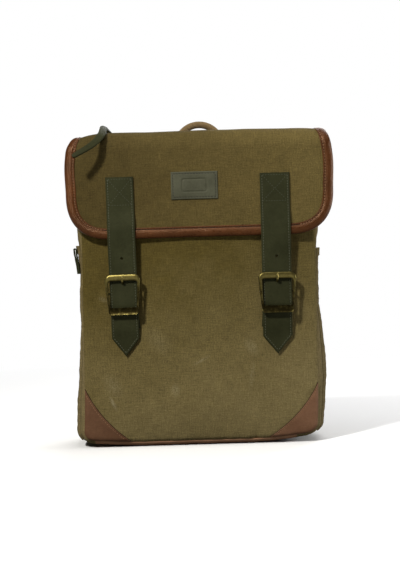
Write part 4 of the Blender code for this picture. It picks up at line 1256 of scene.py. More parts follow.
def make_binding():
    """The leather rolled round the flap's edge, with its groove and stitches."""
    count = 430
    lengths, last = [0.0], binding_outline(0.0)
    fine = 2000
    for k in range(1, fine + 1):
        here = binding_outline(k / fine)
        lengths.append(lengths[-1] + (here - last).length)
        last = here
    total = lengths[-1]
    shares, k = [], 0
    for j in range(count + 1):
        goal = total * j / count
        while k < fine and lengths[k + 1] < goal:
            k += 1
        k = min(k, fine - 1)
        part = (goal - lengths[k]) / max(lengths[k + 1] - lengths[k], 1e-9)
        shares.append(min((k + part) / fine, 1.0))
    rings = []
    for j, share in enumerate(shares):
        here, inward = binding_frame(share)
        puff = 1 + 0.07 * lumps(j / count, 0.5, 0.02, 40.3)
        ring = []
        for inboard, out in BINDING_ROLL:
            raised = out * puff if out > 0.0024 else out
            at = here + inward * (inboard + GAP)
            ring.append(flap_point(at.x, at.y, raised))
        rings.append(ring)
    loft("flap_edging", rings, "brown_leather", BINDING_BROWN, stands_for=["flap_binding"], angle=60)

    def at(share, _, height):
        here, inward = binding_frame(share)
        spot = here + inward * (BINDING_STITCH + GAP)
        return flap_point(spot.x, spot.y, height)

    path = [(share, 0) for share in shares if 0.004 < share < 0.996]
    # A dark line in the groove by the stitches: painted shade
    line = [at(share, 0, 0.0017) for share, _ in path]
    rings = tube_rings(line, even(EDGE_LINE), sides=6)
    loft("flap_groove", rings, "brown_leather", EDGE_DARK_AND_SHADE)
    sides, low = Thread(), Thread()
    for part, thread in (((0.0, 0.385), sides), ((0.385, 0.615), low), ((0.615, 1.0), sides)):
        piece = [step for step in path if part[0] <= step[0] <= part[1]]
        thread.run(at, piece, 0.0023, **EDGE_STITCH)
    sides.piece("stitches_edging_sides", "brown_leather", BROWN_THREAD)
    low.piece("stitches_edging_low", "brown_leather", DARK_THREAD)


def make_label():
    """The leather label with its embossed frame and stitched edge."""
    base = FLAP_CANVAS / 2 + GAP / 2
    half_w, half_h = LABEL_WIDTH / 2, LABEL_HEIGHT / 2
    frame_w, frame_h, corner = LABEL_FRAME_HALF_WIDTH, LABEL_FRAME_HALF_HEIGHT, LABEL_FRAME_CORNER

    def at(x, up, height):
        return flap_point(LABEL_X - FLAP_SHIFT + x, flap_run_at(LABEL_Z) - up, base + height)

    def top(x, up):
        edge = min(half_w - abs(x), half_h - abs(up))
        rise = LABEL_THICK * (1 - 0.55 * near_edge(edge, 0.0008))
        rise -= 0.00035 * hump(edge - STITCH_INSET, 0.0006)
        dx = max(abs(x) - frame_w + corner, 0.0)
        dy = max(abs(up) - frame_h + corner, 0.0)
        inside = corner - math.hypot(dx, dy)
        if dx == 0 or dy == 0:
            inside = min(frame_w - abs(x), frame_h - abs(up))
        rise -= LABEL_FRAME_DEPTH * hump(inside, 0.0009)
        return rise - 0.00018 * eased(inside / 0.001)

    def edges(half, count):
        inner = spread(count, -half + 0.0012, half - 0.0012)
        return [-half, -half + 0.0003, -half + 0.0007] + inner + [half - 0.0007, half - 0.0003, half]

    slab(
        "label_hide", edges(half_w, 96), edges(half_h, 58), at, top, 0.0,
        "slate_leather", LABEL_SLATE, stands_for=["label"],
    )
    thread = Thread()
    w, h = half_w - STITCH_INSET, half_h - STITCH_INSET
    corners = ((-w, -h), (w, -h), (w, h), (-w, h), (-w, -h))
    for start, end in zip(corners, corners[1:]):
        path = [tuple(a + (b - a) * k / 20 for a, b in zip(start, end)) for k in range(21)]
        thread.run(at, path, LABEL_THICK - STITCH_SINK, **LABEL_STITCH)
    thread.piece("stitches_label", "slate_leather", DARK_THREAD)


def strap_middle(side, z):
    """Where a strap's middle line is across the bag at a height."""
    return side.sign * (side.x - side.lean * (STRAP_TOP - z))


def strap_route(side, offset):
    """Points down a strap, offset from its middle line: over the flap, then to the front."""
    on_flap = FLAP_CANVAS / 2 + GAP + STRAP_LEATHER / 2
    on_edge = BINDING_OUT + BINDING_LEATHER / 2 + 2 * GAP + STRAP_LEATHER / 2
    top = side.buckle_top
    under_tab = GAP + TAB_LEATHER + GAP + STRAP_LEATHER / 2
    tip_out = 2 * GAP + STRAP_LEATHER / 2
    climb = FLAP_BOTTOM + BINDING_WIDTH + STRAP_CLIMB

    def on_front(z, out):
        return front_point(strap_middle(side, z) + offset - lean_at(z), z, out)

    def over_flap(z, out):
        return flap_point(strap_middle(side, z) + offset - FLAP_SHIFT, flap_run_at(z), out)

    points = [over_flap(STRAP_TOP + (climb - STRAP_TOP) * k / 3, on_flap) for k in range(4)]
    points += [over_flap(FLAP_BOTTOM + BINDING_WIDTH + STRAP_STEP, on_edge)]
    edge = over_flap(FLAP_BOTTOM + STRAP_STEP, on_edge)
    below = edge.z - BINDING_PUFF - STRAP_DROP
    buckle = on_front(top + ABOVE_BUCKLE, STRAP_OUT)
    middle = (below + buckle.z) / 2
    points += [edge, Vector((strap_middle(side, below) + offset, edge.y, below))]
    points += [Vector((strap_middle(side, middle) + offset, (edge.y + buckle.y) / 2, middle)), buckle]
    points += [on_front(z, STRAP_OUT) for z in (top - BEHIND_BUCKLE, top - HINGE_DROP)]
    points += [on_front(top - HINGE_DROP - TAB_FRONT - STRAP_STEP, STRAP_OUT)]
    points += [on_front(top - BUCKLE_HEIGHT, STRAP_OUT - KEEPER_DIP)]
    points += [on_front(top - TAB_FOOT, under_tab + STRAP_REST)]
    points += [on_front(side.tip + STRAP_POINT - STRAP_REST, tip_out + STRAP_REST)]
    points += [on_front(side.tip, tip_out)]
    return points


def strap_surface(side):
    """at(x, share, height) over a strap, x from its middle, with its routes made once."""
    count = 24
    reach = STRAP_WIDTH / 2 + 0.002
    routes = [strap_route(side, reach * (2 * k / count - 1)) for k in range(count + 1)]

    def line(x, share):
        place = clamp((x / reach + 1) / 2, 0.0, 0.99999) * count
        k = int(place)
        return spline(routes[k], share).lerp(spline(routes[k + 1], share), place - k)

    def at(x, share, height):
        step = 0.0015
        along = line(x, min(share + step, 1.0)) - line(x, max(share - step, 0.0))
        across = line(x + 0.001, share) - line(x - 0.001, share)
        return line(x, share) + along.cross(across).normalized() * height

    return at


def strap_reach(side, z):
    """Half the strap's width at a height, down to its point."""
    return STRAP_WIDTH * side.width / 2 * clamp((z - side.tip) / STRAP_POINT, 0.035, 1.0)


def buckle_place(side):
    """The buckle's frame: x across, y up, z outward, its origin at the top on the strap's middle."""
    low, high = side.buckle_top - BUCKLE_HEIGHT, side.buckle_top
    slip = side.sign * side.slip
    x = strap_middle(side, high) + slip - lean_at(high)
    low_x = strap_middle(side, low) + slip - lean_at(low)
    half = STRAP_WIDTH / 2
    across = (front_point(x + half, high) - front_point(x - half, high)).normalized()
    up = (front_point(x, high) - front_point(low_x, low)).normalized()
    out = across.cross(up).normalized()
    across = up.cross(out)
    frame = Matrix((across, up, out)).transposed().to_4x4()
    frame.translation = front_point(x, high, STRAP_OUT)
    return frame


def share_at_height(at, z):
    """The share of a strap's route at a height, by halving."""
    low, high = 0.0, 1.0
    for _ in range(24):
        middle = (low + high) / 2
        if at(0.0, middle, 0.0).z > z:
            low = middle
        else:
            high = middle
    return (low + high) / 2


SEWN_BOX = 0.0355


def make_strap(side, place):
    """A front strap with its stitches and its spare hole."""
    at = strap_surface(side)
    half = STRAP_WIDTH * side.width / 2
    shares = spread(190)
    heights = [at(0.0, share, 0.0).z for share in shares]

    def reach(share):
        return strap_reach(side, heights[round(share * (len(shares) - 1))])

    def edge_rise(distance):
        groove = 0.00030 * hump(distance - STITCH_INSET, 0.0006)
        return STRAP_LEATHER / 2 * (1 - 0.75 * near_edge(distance, 0.0009)) - groove

    def top(u, share):
        slope = 1.0 if heights[round(share * (len(shares) - 1))] > side.tip + STRAP_POINT else 0.76
        return edge_rise((1 - abs(u)) * reach(share) * slope)

    def bottom(u, share):
        return -STRAP_LEATHER / 2 * (1 - 0.6 * near_edge((1 - abs(u)) * reach(share), 0.0008))

    def on_strap(u, share, height):
        return at(u * reach(share), share, height)

    inner = [k / 9 * 0.80 for k in range(-9, 10)]
    outer = [0.83, 0.85, 0.866, 0.885, 0.91, 0.94, 0.965, 0.985, 1.0]
    us = [-u for u in reversed(outer)] + inner + outer
    strap = slab(
        f"strap_hide_{side.name}", us, shares, on_strap, top, bottom,
        "green_leather", STRAP_GREEN, stands_for=[f"strap_{side.name}"],
    )
    punch_holes(strap, place)

    thread = Thread()
    rise = STRAP_LEATHER / 2 - 0.00015
    tail = share_at_height(at, side.tip + STRAP_POINT)
    box_low = share_at_height(at, STRAP_TOP - SEWN_BOX)
    edge_top = share_at_height(at, STRAP_TOP - STITCH_INSET)
    inset = half - STITCH_INSET
    for sign in (-1, 1):
        path = [(sign * inset, share) for share in spread(150, edge_top, tail)]
        thread.run(at, path, rise, **STRAP_STITCH)
        tip = share_at_height(at, side.tip + 0.0045)
        path = [(sign * inset * (1 - k), tail + (tip - tail) * k) for k in spread(30)]
        thread.run(at, path, rise, **STRAP_STITCH)
    box = Thread()
    across = spread(20, -inset, inset)
    box.run(at, [(x, box_low) for x in across], rise, **STRAP_STITCH)
    box.run(at, [(x, edge_top) for x in across], rise, **STRAP_STITCH)
    for sign in (-1, 1):
        path = [(sign * inset * (2 * k - 1), edge_top + (box_low - edge_top) * k) for k in spread(30)]
        box.run(at, path, rise, **STRAP_STITCH)
    box.piece(f"stitches_box_{side.name}", "green_leather", DIM_THREAD)
    thread.piece(f"stitches_strap_{side.name}", "green_leather", PALE_THREAD)
    return at


def punch_holes(strap, place):
    """Cuts the spare hole above the buckle and leaves the mesh clean."""
    shape = bmesh.new()
    sizes = {"radius1": HOLE_RADIUS, "radius2": HOLE_RADIUS, "depth": 0.03}
    bmesh.ops.create_cone(shape, cap_ends=True, segments=20, **sizes)
    spot = place @ Matrix.Translation((0, SPARE_HOLE_RISE, 0))
    bmesh.ops.transform(shape, matrix=spot, verts=shape.verts)
    punch = add_object("punch", mesh_of("punch", shape))
    step = strap.modifiers.new("hole", "BOOLEAN")
    step.operation = "DIFFERENCE"
    step.object = punch
    bake_modifiers(strap)
    bpy.data.objects.remove(punch, do_unlink=True)


def bake_modifiers(piece):
    """Gives the piece its own evaluated mesh and drops its modifiers."""
    bpy.context.view_layer.update()
    graph = bpy.context.evaluated_depsgraph_get()
    mesh = bpy.data.meshes.new_from_object(piece.evaluated_get(graph))
    mesh.name = piece.name
    piece.modifiers.clear()
    piece.data = mesh


def trapezoid(top_half, low_half, top, low, top_corner, low_corner, arc=9):
    """A closed outline with round corners, clockwise from the top right corner."""
    corners = (
        (top_half, top, top_corner, 90),
        (low_half, low, low_corner, 0),
        (-low_half, low, low_corner, -90),
        (-top_half, top, top_corner, -180),
    )
    arcs = []
    for half, height, radius, start in corners:
        lift = radius if height == low else -radius
        centre = Vector((half - math.copysign(radius, half), height + lift))
        turned = [math.radians(start - 90 * k / arc) for k in range(arc + 1)]
        arcs.append([centre + radius * Vector((math.cos(a), math.sin(a))) for a in turned])
    outline = []
    order = (16, 12, 16, 12)
    for k, turn in enumerate(arcs):
        following = arcs[(k + 1) % 4][0]
        outline += turn
        outline += [turn[-1].lerp(following, j / order[k]) for j in range(1, order[k])]
    return outline


def add_wear(piece, values):
    """How worn the metal is, with a painted highlight on the buckles' top bars, a number for each point
    or one for all.
    """
    if isinstance(values, float):
        values = [values] * len(piece.data.vertices)
    wear_and_highlight = piece.data.attributes.new("wear_and_highlight", "FLOAT", "POINT")
    wear_and_highlight.data.foreach_set("value", values)


def make_buckle(side, place):
    """A cast frame with a thick top bar and a broad keeper with raised rims."""
    top_half, low_half = BUCKLE_TOP_HALF * side.width, BUCKLE_LOW_HALF * side.width
    outer = trapezoid(top_half, low_half, 0, -BUCKLE_HEIGHT, BUCKLE_CORNER, BUCKLE_LOW_CORNER)
    inner = trapezoid(
        top_half - BUCKLE_SIDE, low_half - BUCKLE_SIDE / 2,
        -BUCKLE_TOP_BAR, KEEPER_HEIGHT - BUCKLE_HEIGHT, WINDOW_TOP_CORNER, WINDOW_LOW_CORNER,
    )
    back = STRAP_LEATHER / 2 + BUCKLE_STAND
    around = 20
    rings, wear_and_highlight = [], []
    for near, far in zip(inner, outer):
        middle, reach = (near + far) / 2, (far - near) / 2
        high = clamp(1 + middle.y / BUCKLE_HEIGHT)
        thick = BUCKLE_LOW_THICK + (BUCKLE_TOP_THICK - BUCKLE_LOW_THICK) * eased(high)
        keeper = eased((KEEPER_HEIGHT + KEEPER_RAMP - BUCKLE_HEIGHT - middle.y) / KEEPER_RAMP)
        ring = []
        for k in range(around):
            angle = 2 * math.pi * (k + 0.5) / around
            power = 0.75 - 0.25 * keeper
            side_share = math.copysign(abs(math.cos(angle)) ** power, math.cos(angle))
            rise_share = math.copysign(abs(math.sin(angle)) ** power, math.sin(angle))
            at = middle + reach * side_share
            z = back + thick / 2 * (1 + rise_share)
            if rise_share > 0:
                rim = abs(side_share) ** 5
                z += keeper * (KEEPER_RIM * rim - KEEPER_HOLLOW * (1 - rim) * (1 - side_share**2))
                # The front of the top bar is lighter: partly rubbed brass, partly a painted highlight
                rubbed_and_highlight = 0.08 + 0.62 * high**5 * rise_share**2
                rubbed = 0.35 * rim * (side_share > 0.2) - 0.3 * (1 - rim)
                wear_and_highlight.append(clamp(rubbed_and_highlight + keeper * rubbed))
            else:
                wear_and_highlight.append(0.06 + 0.15 * abs(side_share) ** 4)
            ring.append(place @ Vector((at.x, at.y, z)))
        rings.append(ring)
    frame_piece = loft(
        f"buckle_frame_{side.name}", rings, "old_brass", BRASS, closed=True,
        stands_for=[f"buckle_{side.name}"],
    )
    add_wear(frame_piece, wear_and_highlight)

    share = HINGE_DROP / BUCKLE_HEIGHT
    leg = top_half + (low_half - top_half) * share - HINGE_RADIUS
    front, behind = back + BUCKLE_LOW_THICK / 2, HINGE_OUT - STRAP_OUT
    corners = ((-leg, front), (-leg, behind), (leg, behind), (leg, front))
    corners = [Vector((x, -HINGE_DROP, z)) for x, z in corners]
    route = [corners[0]]
    for k in (1, 2):
        route += bend(*corners[k - 1:k + 2], HINGE_BEND)
    route.append(corners[-1])
    route = [place @ point for point in route]
    rings = tube_rings(route, even(HINGE_RADIUS), sides=12)
    hinge = loft(f"buckle_hinge_{side.name}", rings, "old_brass", BRASS)
    add_wear(hinge, 0.2)

    top = back + BUCKLE_TOP_THICK
    foot = -HINGE_DROP + HINGE_RADIUS + GAP + TONGUE_RADIUS
    route = (
        (foot, behind), (-TONGUE_HOLE_DROP - 0.0030, behind * 0.62), (-TONGUE_HOLE_DROP, 0.0),
        (-BUCKLE_TOP_BAR - 0.0010, top * 0.86), (-BUCKLE_TOP_BAR + 0.0018, top - 0.0001),
        (-0.0016, top - 0.0002),
    )
    points = [Vector((0, y, z)) for y, z in route]
    smooth = [place @ spline(points, k / 40) for k in range(41)]

    def taper(share):
        tip = eased(6 * share - 5)
        return TONGUE_RADIUS * (1 - 0.35 * tip), TONGUE_RADIUS * (1 - 0.5 * tip)

    rings = tube_rings(smooth, taper)
    tongue = loft(
        f"buckle_prong_{side.name}", rings, "old_brass", BRASS,
        stands_for=[f"buckle_tongue_{side.name}"],
    )
    add_wear(tongue, 0.45)


def make_tab(side):
    """The leather that holds the buckle, doubled round the hinge bar with a slot for the prong."""
    hinge = side.buckle_top - HINGE_DROP
    foot = side.buckle_top - TAB_FOOT
    low = GAP + TAB_LEATHER / 2
    route = [Vector((foot + (hinge - foot) * k / 5, low)) for k in range(6)]
    for k in range(1, 12):
        angle = math.pi * k / 12
        wrap = Vector((math.sin(angle), -math.cos(angle)))
        route.append(Vector((hinge, HINGE_OUT)) + TAB_WRAP * wrap)
    route.append(Vector((hinge, HINGE_OUT + TAB_WRAP)))
    route.append(Vector((hinge - TAB_FRONT, HINGE_OUT + TAB_WRAP)))

    def at(x, v, height):
        spot = off_route(route, v, height)
        shift = TAB_SHIFT * clamp((hinge - spot.x) / (hinge - foot))
        middle = strap_middle(side, spot.x) + side.sign * (side.slip * (1 - shift / TAB_SHIFT) - shift)
        return front_point(middle + x - lean_at(spot.x), spot.x, spot.y)

    def top(x, v):
        return TAB_LEATHER / 2 * (1 - 0.5 * near_edge(half - abs(x), 0.0006))

    half = TAB_WIDTH * side.width / 2
    for name, start, end in (("outer", TAB_SLOT, half), ("inner", -half, -TAB_SLOT)):
        xs = [start + (end - start) * k for k in TAB_SHARES]
        slab(
            f"tab_{name}_{side.name}", xs, spread(60), at, top, -TAB_LEATHER / 2,
            "green_leather", STRAP_GREEN, stands_for=[f"buckle_tab_{side.name}"],
        )


def make_handle():
    """A rolled handle that stands above the flap, its legs down the back."""
    centre = HANDLE_TOP - HANDLE_RADIUS - HANDLE_ARC
    y = back_point(HANDLE_X - HANDLE_ARC, HANDLE_FOOT, GAP + HANDLE_RADIUS).y
    arch = 90
    points = [Vector((HANDLE_X - HANDLE_ARC, y, z)) for z in spread(12, HANDLE_FOOT, centre)]
    for k in range(1, arch):
        angle = math.pi * k / arch
        x = HANDLE_X - HANDLE_ARC * math.cos(angle)
        points.append(Vector((x, y, centre + HANDLE_ARC * math.sin(angle))))
    points += [Vector((HANDLE_X + HANDLE_ARC, y, z)) for z in spread(12, centre, HANDLE_FOOT)]
    sides = 28
    rings = tube_rings(points, even(HANDLE_RADIUS), sides)
    flat, gone = [], 0.0
    for k in range(len(rings)):
        if k:
            gone += (points[k] - points[k - 1]).length
        for j in range(sides):
            flat.append((2 * math.pi * HANDLE_RADIUS * j / sides, gone, 0.0))
    handle = loft("handle_roll", rings, "webbing", WEBBING, flat=flat, stands_for=["handle"])
    shape = handle.modifiers.new("weave", "SUBSURF")
    shape.levels = shape.render_levels = 1


def make_top():
    """The canvas strip and the zip behind the flap, with the zip's coil."""
    level = ROOT_Z - ZIP_DROP
    start, seam, end = ROOT_Y + GAP, ROOT_Y + ZIP_WIDTH, BACK_Y - CANVAS - GAP
    strips = (
        ("zip_cloth", "zip_tape", start, seam, ZIP_THICK, "zip_tape", ZIP_BLACK),
        ("top_canvas", "top_strip", seam + GAP, end, CANVAS, "canvas", CANVAS_BODY),
    )
    for name, node, front, back, thick, slot, material in strips:

        def at(x, y, height):
            return Vector((x, y, level + height + 0.0004 * lumps(x, y, 0.03, 17.0)))

        slab(
            name, spread(140, -ZIP_HALF, ZIP_HALF), spread(16, front, back), at,
            thick / 2, -thick / 2, slot, material,
            lambda x, y: (x, y, 0.0), stands_for=[node],
        )
    teeth = Thread()
    middle, top = ROOT_Y + ZIP_WIDTH / 2, level + ZIP_THICK / 2 + TEETH_RISE
    for k in range(int(2 * (ZIP_HALF - TEETH_INSET) / TEETH_PITCH)):
        x = -ZIP_HALF + TEETH_INSET + TEETH_PITCH * k
        for sign in (-1, 1):
            along = Vector((0.25 * sign, 1, 0)).normalized()
            spot = Vector((x + TEETH_PITCH / 2 * (sign > 0), middle + sign * TEETH_SIDE, top))
            teeth.add(spot, along, Vector((0, 0, 1)), **TEETH)
    coil = teeth.piece("zip_coil", "zip_tape", BRASS)
    add_wear(coil, 0.3)


def pull_frames(count):
    """The pull's route as (point, along, across, out) from the puller to the tip."""
    route = [
        Vector((row.across * FLAP_HALF, row.depth * BODY_DEPTH, FLAP_TOP + row.rise * FOLD_RADIUS))
        for row in PULLS
    ]
    frames = []
    for k in range(count + 1):
        share = k / count
        at = spline(route, share)
        along = (spline(route, share + 0.02) - spline(route, share - 0.02)).normalized()
        out = Vector(PULL_FACING)
        out = (out - along * out.dot(along)).normalized()
        frames.append((at, along, out.cross(along), out))
    return frames


def make_pull():
    """A strip of leather folded double through the puller's end, its edges rounded."""
    frames = pull_frames(40)
    near = PULL_LEATHER / 2 + GAP / 2
    turn = ZIP_WIRE + GAP + PULL_LEATHER / 2
    layers = {1: [], -1: []}
    for sign in layers:
        for k, (at, _, across, out) in enumerate(frames):
            wide = near + (turn - near) * (1 - eased(k / 10))
            layers[sign].append((at + out * wide * sign, across, out))
    at, along, across, out = frames[0]
    fold = []
    for k in range(1, 10):
        angle = math.pi * k / 10
        way = math.cos(angle) * out - math.sin(angle) * along
        fold.append((at + turn * way, across, way))
    route = layers[1][::-1] + fold + [(p, a, -o) for p, a, o in layers[-1]]
    rings = []
    half, thick = PULL_WIDTH / 2, PULL_LEATHER / 2
    outline = [(-0.93, 1), (-0.4, 1), (0.4, 1), (0.93, 1), (1, 0.5), (1, -0.5)]
    outline += [(-a, -b) for a, b in outline]
    for k, (at, across, out) in enumerate(route):
        reach = abs(2 * k / (len(route) - 1) - 1)
        wide = half * (1 - 0.38 * eased(2 * reach - 1)) * (1 - 0.35 * eased(30 * reach - 29))
        rings.append([at + across * wide * a + out * thick * b for a, b in outline])
    loft("pull_hide", rings, "green_leather", STRAP_GREEN, stands_for=["zip_pull"], angle=70)


def make_side_loop():
    """A folded leather loop sewn to the left side near the front seam."""
    share = LOOP_INSET / BODY_DEPTH
    low_run = CORNER_RUN + LOOP_Z - SEAM_LIFT - SEAM_CORNER
    half = LOOP_WIDTH / 2 / BODY_DEPTH
    layer = LOOP_LEATHER / 2 + GAP
    near = POCKET_SLACK * math.sin(math.pi * share) + CANVAS + LOOP_LIFT + LOOP_LEATHER / 2
    turn = LOOP_TURN
    route = [(0.0, near), (LOOP_HEIGHT * 0.5, near + LOOP_LEAN * 0.4)]
    route += [(LOOP_HEIGHT - turn, near + LOOP_LEAN - turn + layer)]
    for k in range(1, 6):
        angle = math.pi * k / 6
        up = LOOP_HEIGHT - turn + turn * math.sin(angle)
        route.append((up, near + LOOP_LEAN + layer - turn * math.cos(angle)))
    route += [(LOOP_HEIGHT - turn, near + LOOP_LEAN + turn + layer)]
    route += [(LOOP_HEIGHT * 0.5, near + LOOP_LEAN * 0.4 + LOOP_MIDDLE_SHARE * layer)]
    route += [(0.0, near + LOOP_FOOT_SHARE * layer)]
    route = [Vector(step) for step in route]

    def at(u, v, height):
        spot = off_route(route, v, height)
        run, across = low_run + spot.x, share + half * u
        return side_point(-1, run, across, spot.y + side_relief(-1, run, across))

    def top(u, v):
        return LOOP_PUFF * LOOP_LEATHER / 2 * (1 - 0.6 * (abs(u) > 0.99))

    slab(
        "loop_hide", [-1, -0.93, -0.8, -0.4, 0, 0.4, 0.8, 0.93, 1], spread(70), at,
        top, lambda u, v: -top(u, v), "green_leather", STRAP_GREEN, stands_for=["side_loop"],
    )


def pad_middle(side, share):
    """The shoulder pad's middle line and half width, by share of its length."""
    z = PAD_TOP + (PAD_END - PAD_TOP) * share
    x = PAD_TOP_X + (PAD_END_X - PAD_TOP_X) * eased(share)
    out = GAP + PAD_THICK / 2 + PAD_BOW * read_table(PAD_BOWS, share, "bow")
    half = (PAD_TOP_WIDTH + (PAD_END_WIDTH - PAD_TOP_WIDTH) * eased(share)) / 2
    return back_point(side.sign * x, z, out), half


def pad_point(side, u, share, height):
    middle, half = pad_middle(side, share)
    along = pad_middle(side, min(share + 0.01, 1))[0] - pad_middle(side, max(share - 0.01, 0))[0]
    out = Vector((0, -along.z, along.y)).normalized()
    return middle + Vector((half * u, 0, 0)) + out * height


# The cloth simulation that fills the shoulder pads
PUFF_VOXEL = 0.0045
PUFF_FRAMES = 18
PUFF_CAP = 0.004
PUFF_CLOTH = {
    "quality": 5, "mass": 0.2, "use_pressure": True, "uniform_pressure_force": 4,
    "tension_stiffness": 12, "compression_stiffness": 12, "shear_stiffness": 6, "bending_stiffness": 2,
}


def puff(piece):
    """Fills a closed form with air pressure, each point moved by no more than the cap."""
    remesh = piece.modifiers.new("remesh", "REMESH")
    remesh.mode = "VOXEL"
    remesh.voxel_size = PUFF_VOXEL
    bake_modifiers(piece)
    start = [v.co.copy() for v in piece.data.vertices]
    cloth = piece.modifiers.new("air", "CLOTH")
    for setting, value in PUFF_CLOTH.items():
        setattr(cloth.settings, setting, value)
    cloth.settings.effector_weights.gravity = 0
    cloth.point_cache.frame_start = 1
    cloth.point_cache.frame_end = PUFF_FRAMES
    for number in range(1, PUFF_FRAMES + 1):
        bpy.context.scene.frame_set(number)
    bake_modifiers(piece)
    bpy.context.scene.frame_set(1)
    for vertex, before in zip(piece.data.vertices, start):
        move = vertex.co - before
        if move.length > PUFF_CAP:
            vertex.co = before + move.normalized() * PUFF_CAP


def make_shoulder_strap(side):
    """A padded strap with a sewn edge, the webbing below it, and the adjuster between them."""
    thick = PAD_THICK / 2 - PAD_SHRINK
    pad = slab(
        f"shoulder_pad_{side.name}", spread(12, -0.93, 0.93), spread(46, 0.012, 0.988),
        lambda u, share, height: pad_point(side, u, share, height),
        lambda u, v: thick * (1 - 0.6 * u**4), lambda u, v: -thick * (1 - 0.6 * u**4),
        "canvas", CANVAS_BODY, stands_for=[f"shoulder_strap_{side.name}"],
    )
    puff(pad)
    smooth = pad.modifiers.new("smooth", "SUBSURF")
    smooth.levels = smooth.render_levels = 1
    bake_modifiers(pad)
    pattern = []
    for vertex in pad.data.vertices:
        share = clamp((PAD_TOP - vertex.co.z) / (PAD_TOP - PAD_END))
        middle, half = pad_middle(side, share)
        edge = half - abs(vertex.co.x - middle.x)
        edge = min(edge, 0.5 * (PAD_TOP - PAD_END) * min(share + 0.02, 1.02 - share) + 0.002)
        seam = hump(edge - PAD_SEAM, 0.0020)
        thin = PAD_SEAM_DEPTH * seam + PAD_EDGE_DEPTH * (1 - eased(edge / PAD_SEAM))
        vertex.co.y = middle.y + (vertex.co.y - middle.y) * (1 - thin)
        pattern.append((vertex.co.x, vertex.co.z, 0.03))
    add_pattern(pad.data, pattern)
    pad.data.materials.clear()
    pad.data.materials.append(CANVAS_BODY)
    pad.data.shade_smooth()

    end, half = pad_middle(side, 1.0)
    anchor = back_point(side.sign * (BODY_HALF - WEB_END_INSET), WEB_END_Z, 2 * GAP + WEB_THICK / 2)
    hang = Vector((0, anchor.y - end.y, anchor.z - end.z)).normalized()
    top = end + hang * (ADJUSTER_WIRE + 3 * GAP)
    half_ring = WEB_WIDTH / 2 + ADJUSTER_WIRE + ADJUSTER_SPARE
    corners = ((0, -1), (0, 1), (1, 1), (1, -1))
    corners = [
        top + hang * ADJUSTER_HEIGHT * low + Vector((half_ring * wide, 0, 0)) for low, wide in corners
    ]
    route = []
    for k, here in enumerate(corners):
        route += bend(corners[k - 1], here, corners[(k + 1) % 4], ADJUSTER_BEND)
    rings = tube_rings(route, even(ADJUSTER_WIRE), sides=12, closed=True)
    ring = loft(
        f"adjuster_{side.name}", rings, "old_brass", BRASS, closed=True,
        stands_for=[f"strap_adjuster_{side.name}"],
    )
    add_wear(ring, 0.3)
    start = top + hang * (ADJUSTER_HEIGHT + ADJUSTER_WIRE + GAP)

    def at(x, v, height):
        out = Vector((0, -hang.z, hang.y))
        return start.lerp(anchor, v) + Vector((x, WEB_SAG * math.sin(math.pi * v), 0)) + out * height

    def web_top(x, v):
        return WEB_THICK / 2 * (1 - 0.5 * (abs(x) > WEB_WIDTH / 2 - 1e-5))

    slab(
        f"webbing_{side.name}", spread(16, -WEB_WIDTH / 2, WEB_WIDTH / 2), spread(60), at,
        web_top, lambda x, v: -web_top(x, v), "webbing", WEBBING,
        lambda x, v: (x, v * (start - anchor).length, 0.0), stands_for=[f"strap_webbing_{side.name}"],
    )


def dress_nodes():
    """Better materials on the small metal nodes that keep their own shape."""
    for name in ("zip_ring", "zip_puller", "zip_slider"):
        node = frame["nodes"][name]
        node.data.materials.clear()
        node.data.materials.append(BRASS)


# The floor: how bright it is for light and for the camera, and where it fades into the white wall
FLOOR_DROP = 0.0002
FLOOR_RADIUS = 9.0
FLOOR_BOUNCE = 0.16
FLOOR_SEEN = 0.97
FADE_START = 0.35
FADE_END = 1.6
WHITE = (1, 1, 1, 1)


def make_stage():
    """A pale floor that fades to white away from the object."""
    shape = bmesh.new()
    bmesh.ops.create_circle(shape, cap_ends=True, segments=96, radius=FLOOR_RADIUS)
    floor = add_object("floor", mesh_of("floor", shape))
    floor.location.z = -FLOOR_DROP
    look = Look("floor", 0.9)
    seen = look.node("LightPath").outputs["Is Camera Ray"]
    material = look.done(look.span(seen, 0, 1, FLOOR_BOUNCE, FLOOR_SEEN))
    far = look.vectors("LENGTH", look.place()).outputs["Value"]
    glow = look.node("Emission", {"Color": WHITE, "Strength": 1.0}).outputs[0]
    inputs = {0: look.span(far, FADE_START, FADE_END), 1: look.shader.outputs[0], 2: glow}
    blend = look.node("MixShader", inputs).outputs[0]
    look.set(look.tree.nodes["Material Output"].inputs["Surface"], blend)
    floor.data.materials.append(material)


AIM = (0, -0.05, 0.21)
LIGHTS = table(
    "name spot aim size power colour",
    ("key", (-1.04, -1.65, 1.81), AIM, 0.26, 65, (1.0, 0.98, 0.93)),
    ("top", (0.2, -0.3, 1.9), (0, -0.1, 0), 1.4, 10, (1, 1, 1)),
    ("back", (0.6, 1.6, 1.2), AIM, 1.8, 28, (1, 1, 1)),
    ("side", (1.7, -0.10, 0.50), AIM, 0.6, 15, (1, 1, 1)),
)


def add_light(row):
    """A round area light turned to its aim."""
    lamp = bpy.data.lights.new(row.name, "AREA")
    lamp.shape = "DISK"
    lamp.size = row.size
    lamp.energy = row.power
    lamp.color = row.colour
    light = add_object(row.name, lamp)
    light.location = row.spot
    light.rotation_mode = "QUATERNION"
    light.rotation_quaternion = (Vector(row.aim) - Vector(row.spot)).to_track_quat("-Z", "Y")


WORLD_TINT = (1.0, 0.99, 0.97, 1)
WORLD_DIM = 0.03


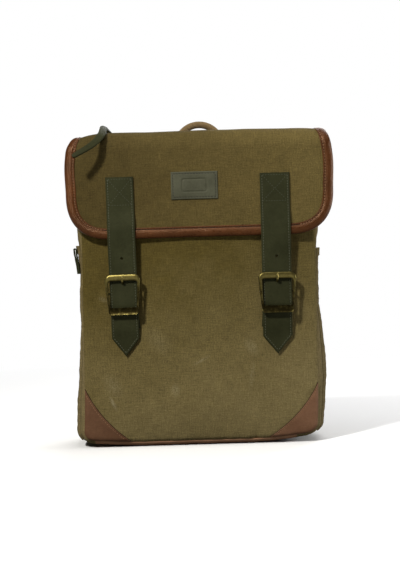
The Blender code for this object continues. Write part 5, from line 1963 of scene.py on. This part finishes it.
def make_world():
    """A dim studio for light, and a white wall where the camera looks past the object."""
    world = bpy.data.worlds.new("studio")
    bpy.context.scene.world = world
    world.use_nodes = True
    tree = world.node_tree
    dim = tree.nodes["Background"]
    set_input(tree, dim.inputs["Color"], WORLD_TINT)
    set_input(tree, dim.inputs["Strength"], WORLD_DIM)
    wall = add_node(tree, "Background", {"Color": WHITE, "Strength": 1.0})
    seen = add_node(tree, "LightPath").outputs["Is Camera Ray"]
    blend = add_node(tree, "MixShader", {0: seen, 1: dim.outputs[0], 2: wall.outputs[0]})
    set_input(tree, tree.nodes["World Output"].inputs["Surface"], blend.outputs[0])


CAMERA_ROLL = math.radians(1.7)
CAMERA_DISTANCE = 1.5
CAMERA_HEIGHT = 0.2032
FRAME_HEIGHT = 0.7239
SENSOR_WIDTH = 36


def make_camera():
    """A camera straight in front, rolled a little as in the photo."""
    data = bpy.data.cameras.new("camera")
    data.sensor_width = SENSOR_WIDTH
    data.lens = SENSOR_WIDTH * CAMERA_DISTANCE / FRAME_HEIGHT
    right, back, up = Vector((1, 0, 0)), Vector((0, -1, 0)), Vector((0, 0, 1))
    turned_right = right * math.cos(CAMERA_ROLL) - up * math.sin(CAMERA_ROLL)
    turned_up = up * math.cos(CAMERA_ROLL) + right * math.sin(CAMERA_ROLL)
    place = Matrix((turned_right, turned_up, back)).transposed().to_4x4()
    place.translation = Vector((0, FRONT_Y, CAMERA_HEIGHT)) + back * CAMERA_DISTANCE
    camera = add_object("camera", data)
    camera.matrix_world = place
    bpy.context.scene.camera = camera


def main():
    """Dresses every node, then sets the stage, the lights and the camera."""
    bpy.context.scene.view_settings.view_transform = "Standard"
    make_front_panel()
    make_back_panel()
    make_base()
    make_flap()
    make_binding()
    make_label()
    make_handle()
    make_top()
    make_pull()
    make_side_loop()
    for side in SIDES:
        place = buckle_place(side)
        make_side_panel(side)
        make_side_pocket(side)
        make_corner_patch(side)
        make_strap(side, place)
        make_buckle(side, place)
        make_tab(side)
        make_shoulder_strap(side)
    dress_nodes()
    make_stage()
    make_world()
    for row in LIGHTS:
        add_light(row)
    make_camera()


main()
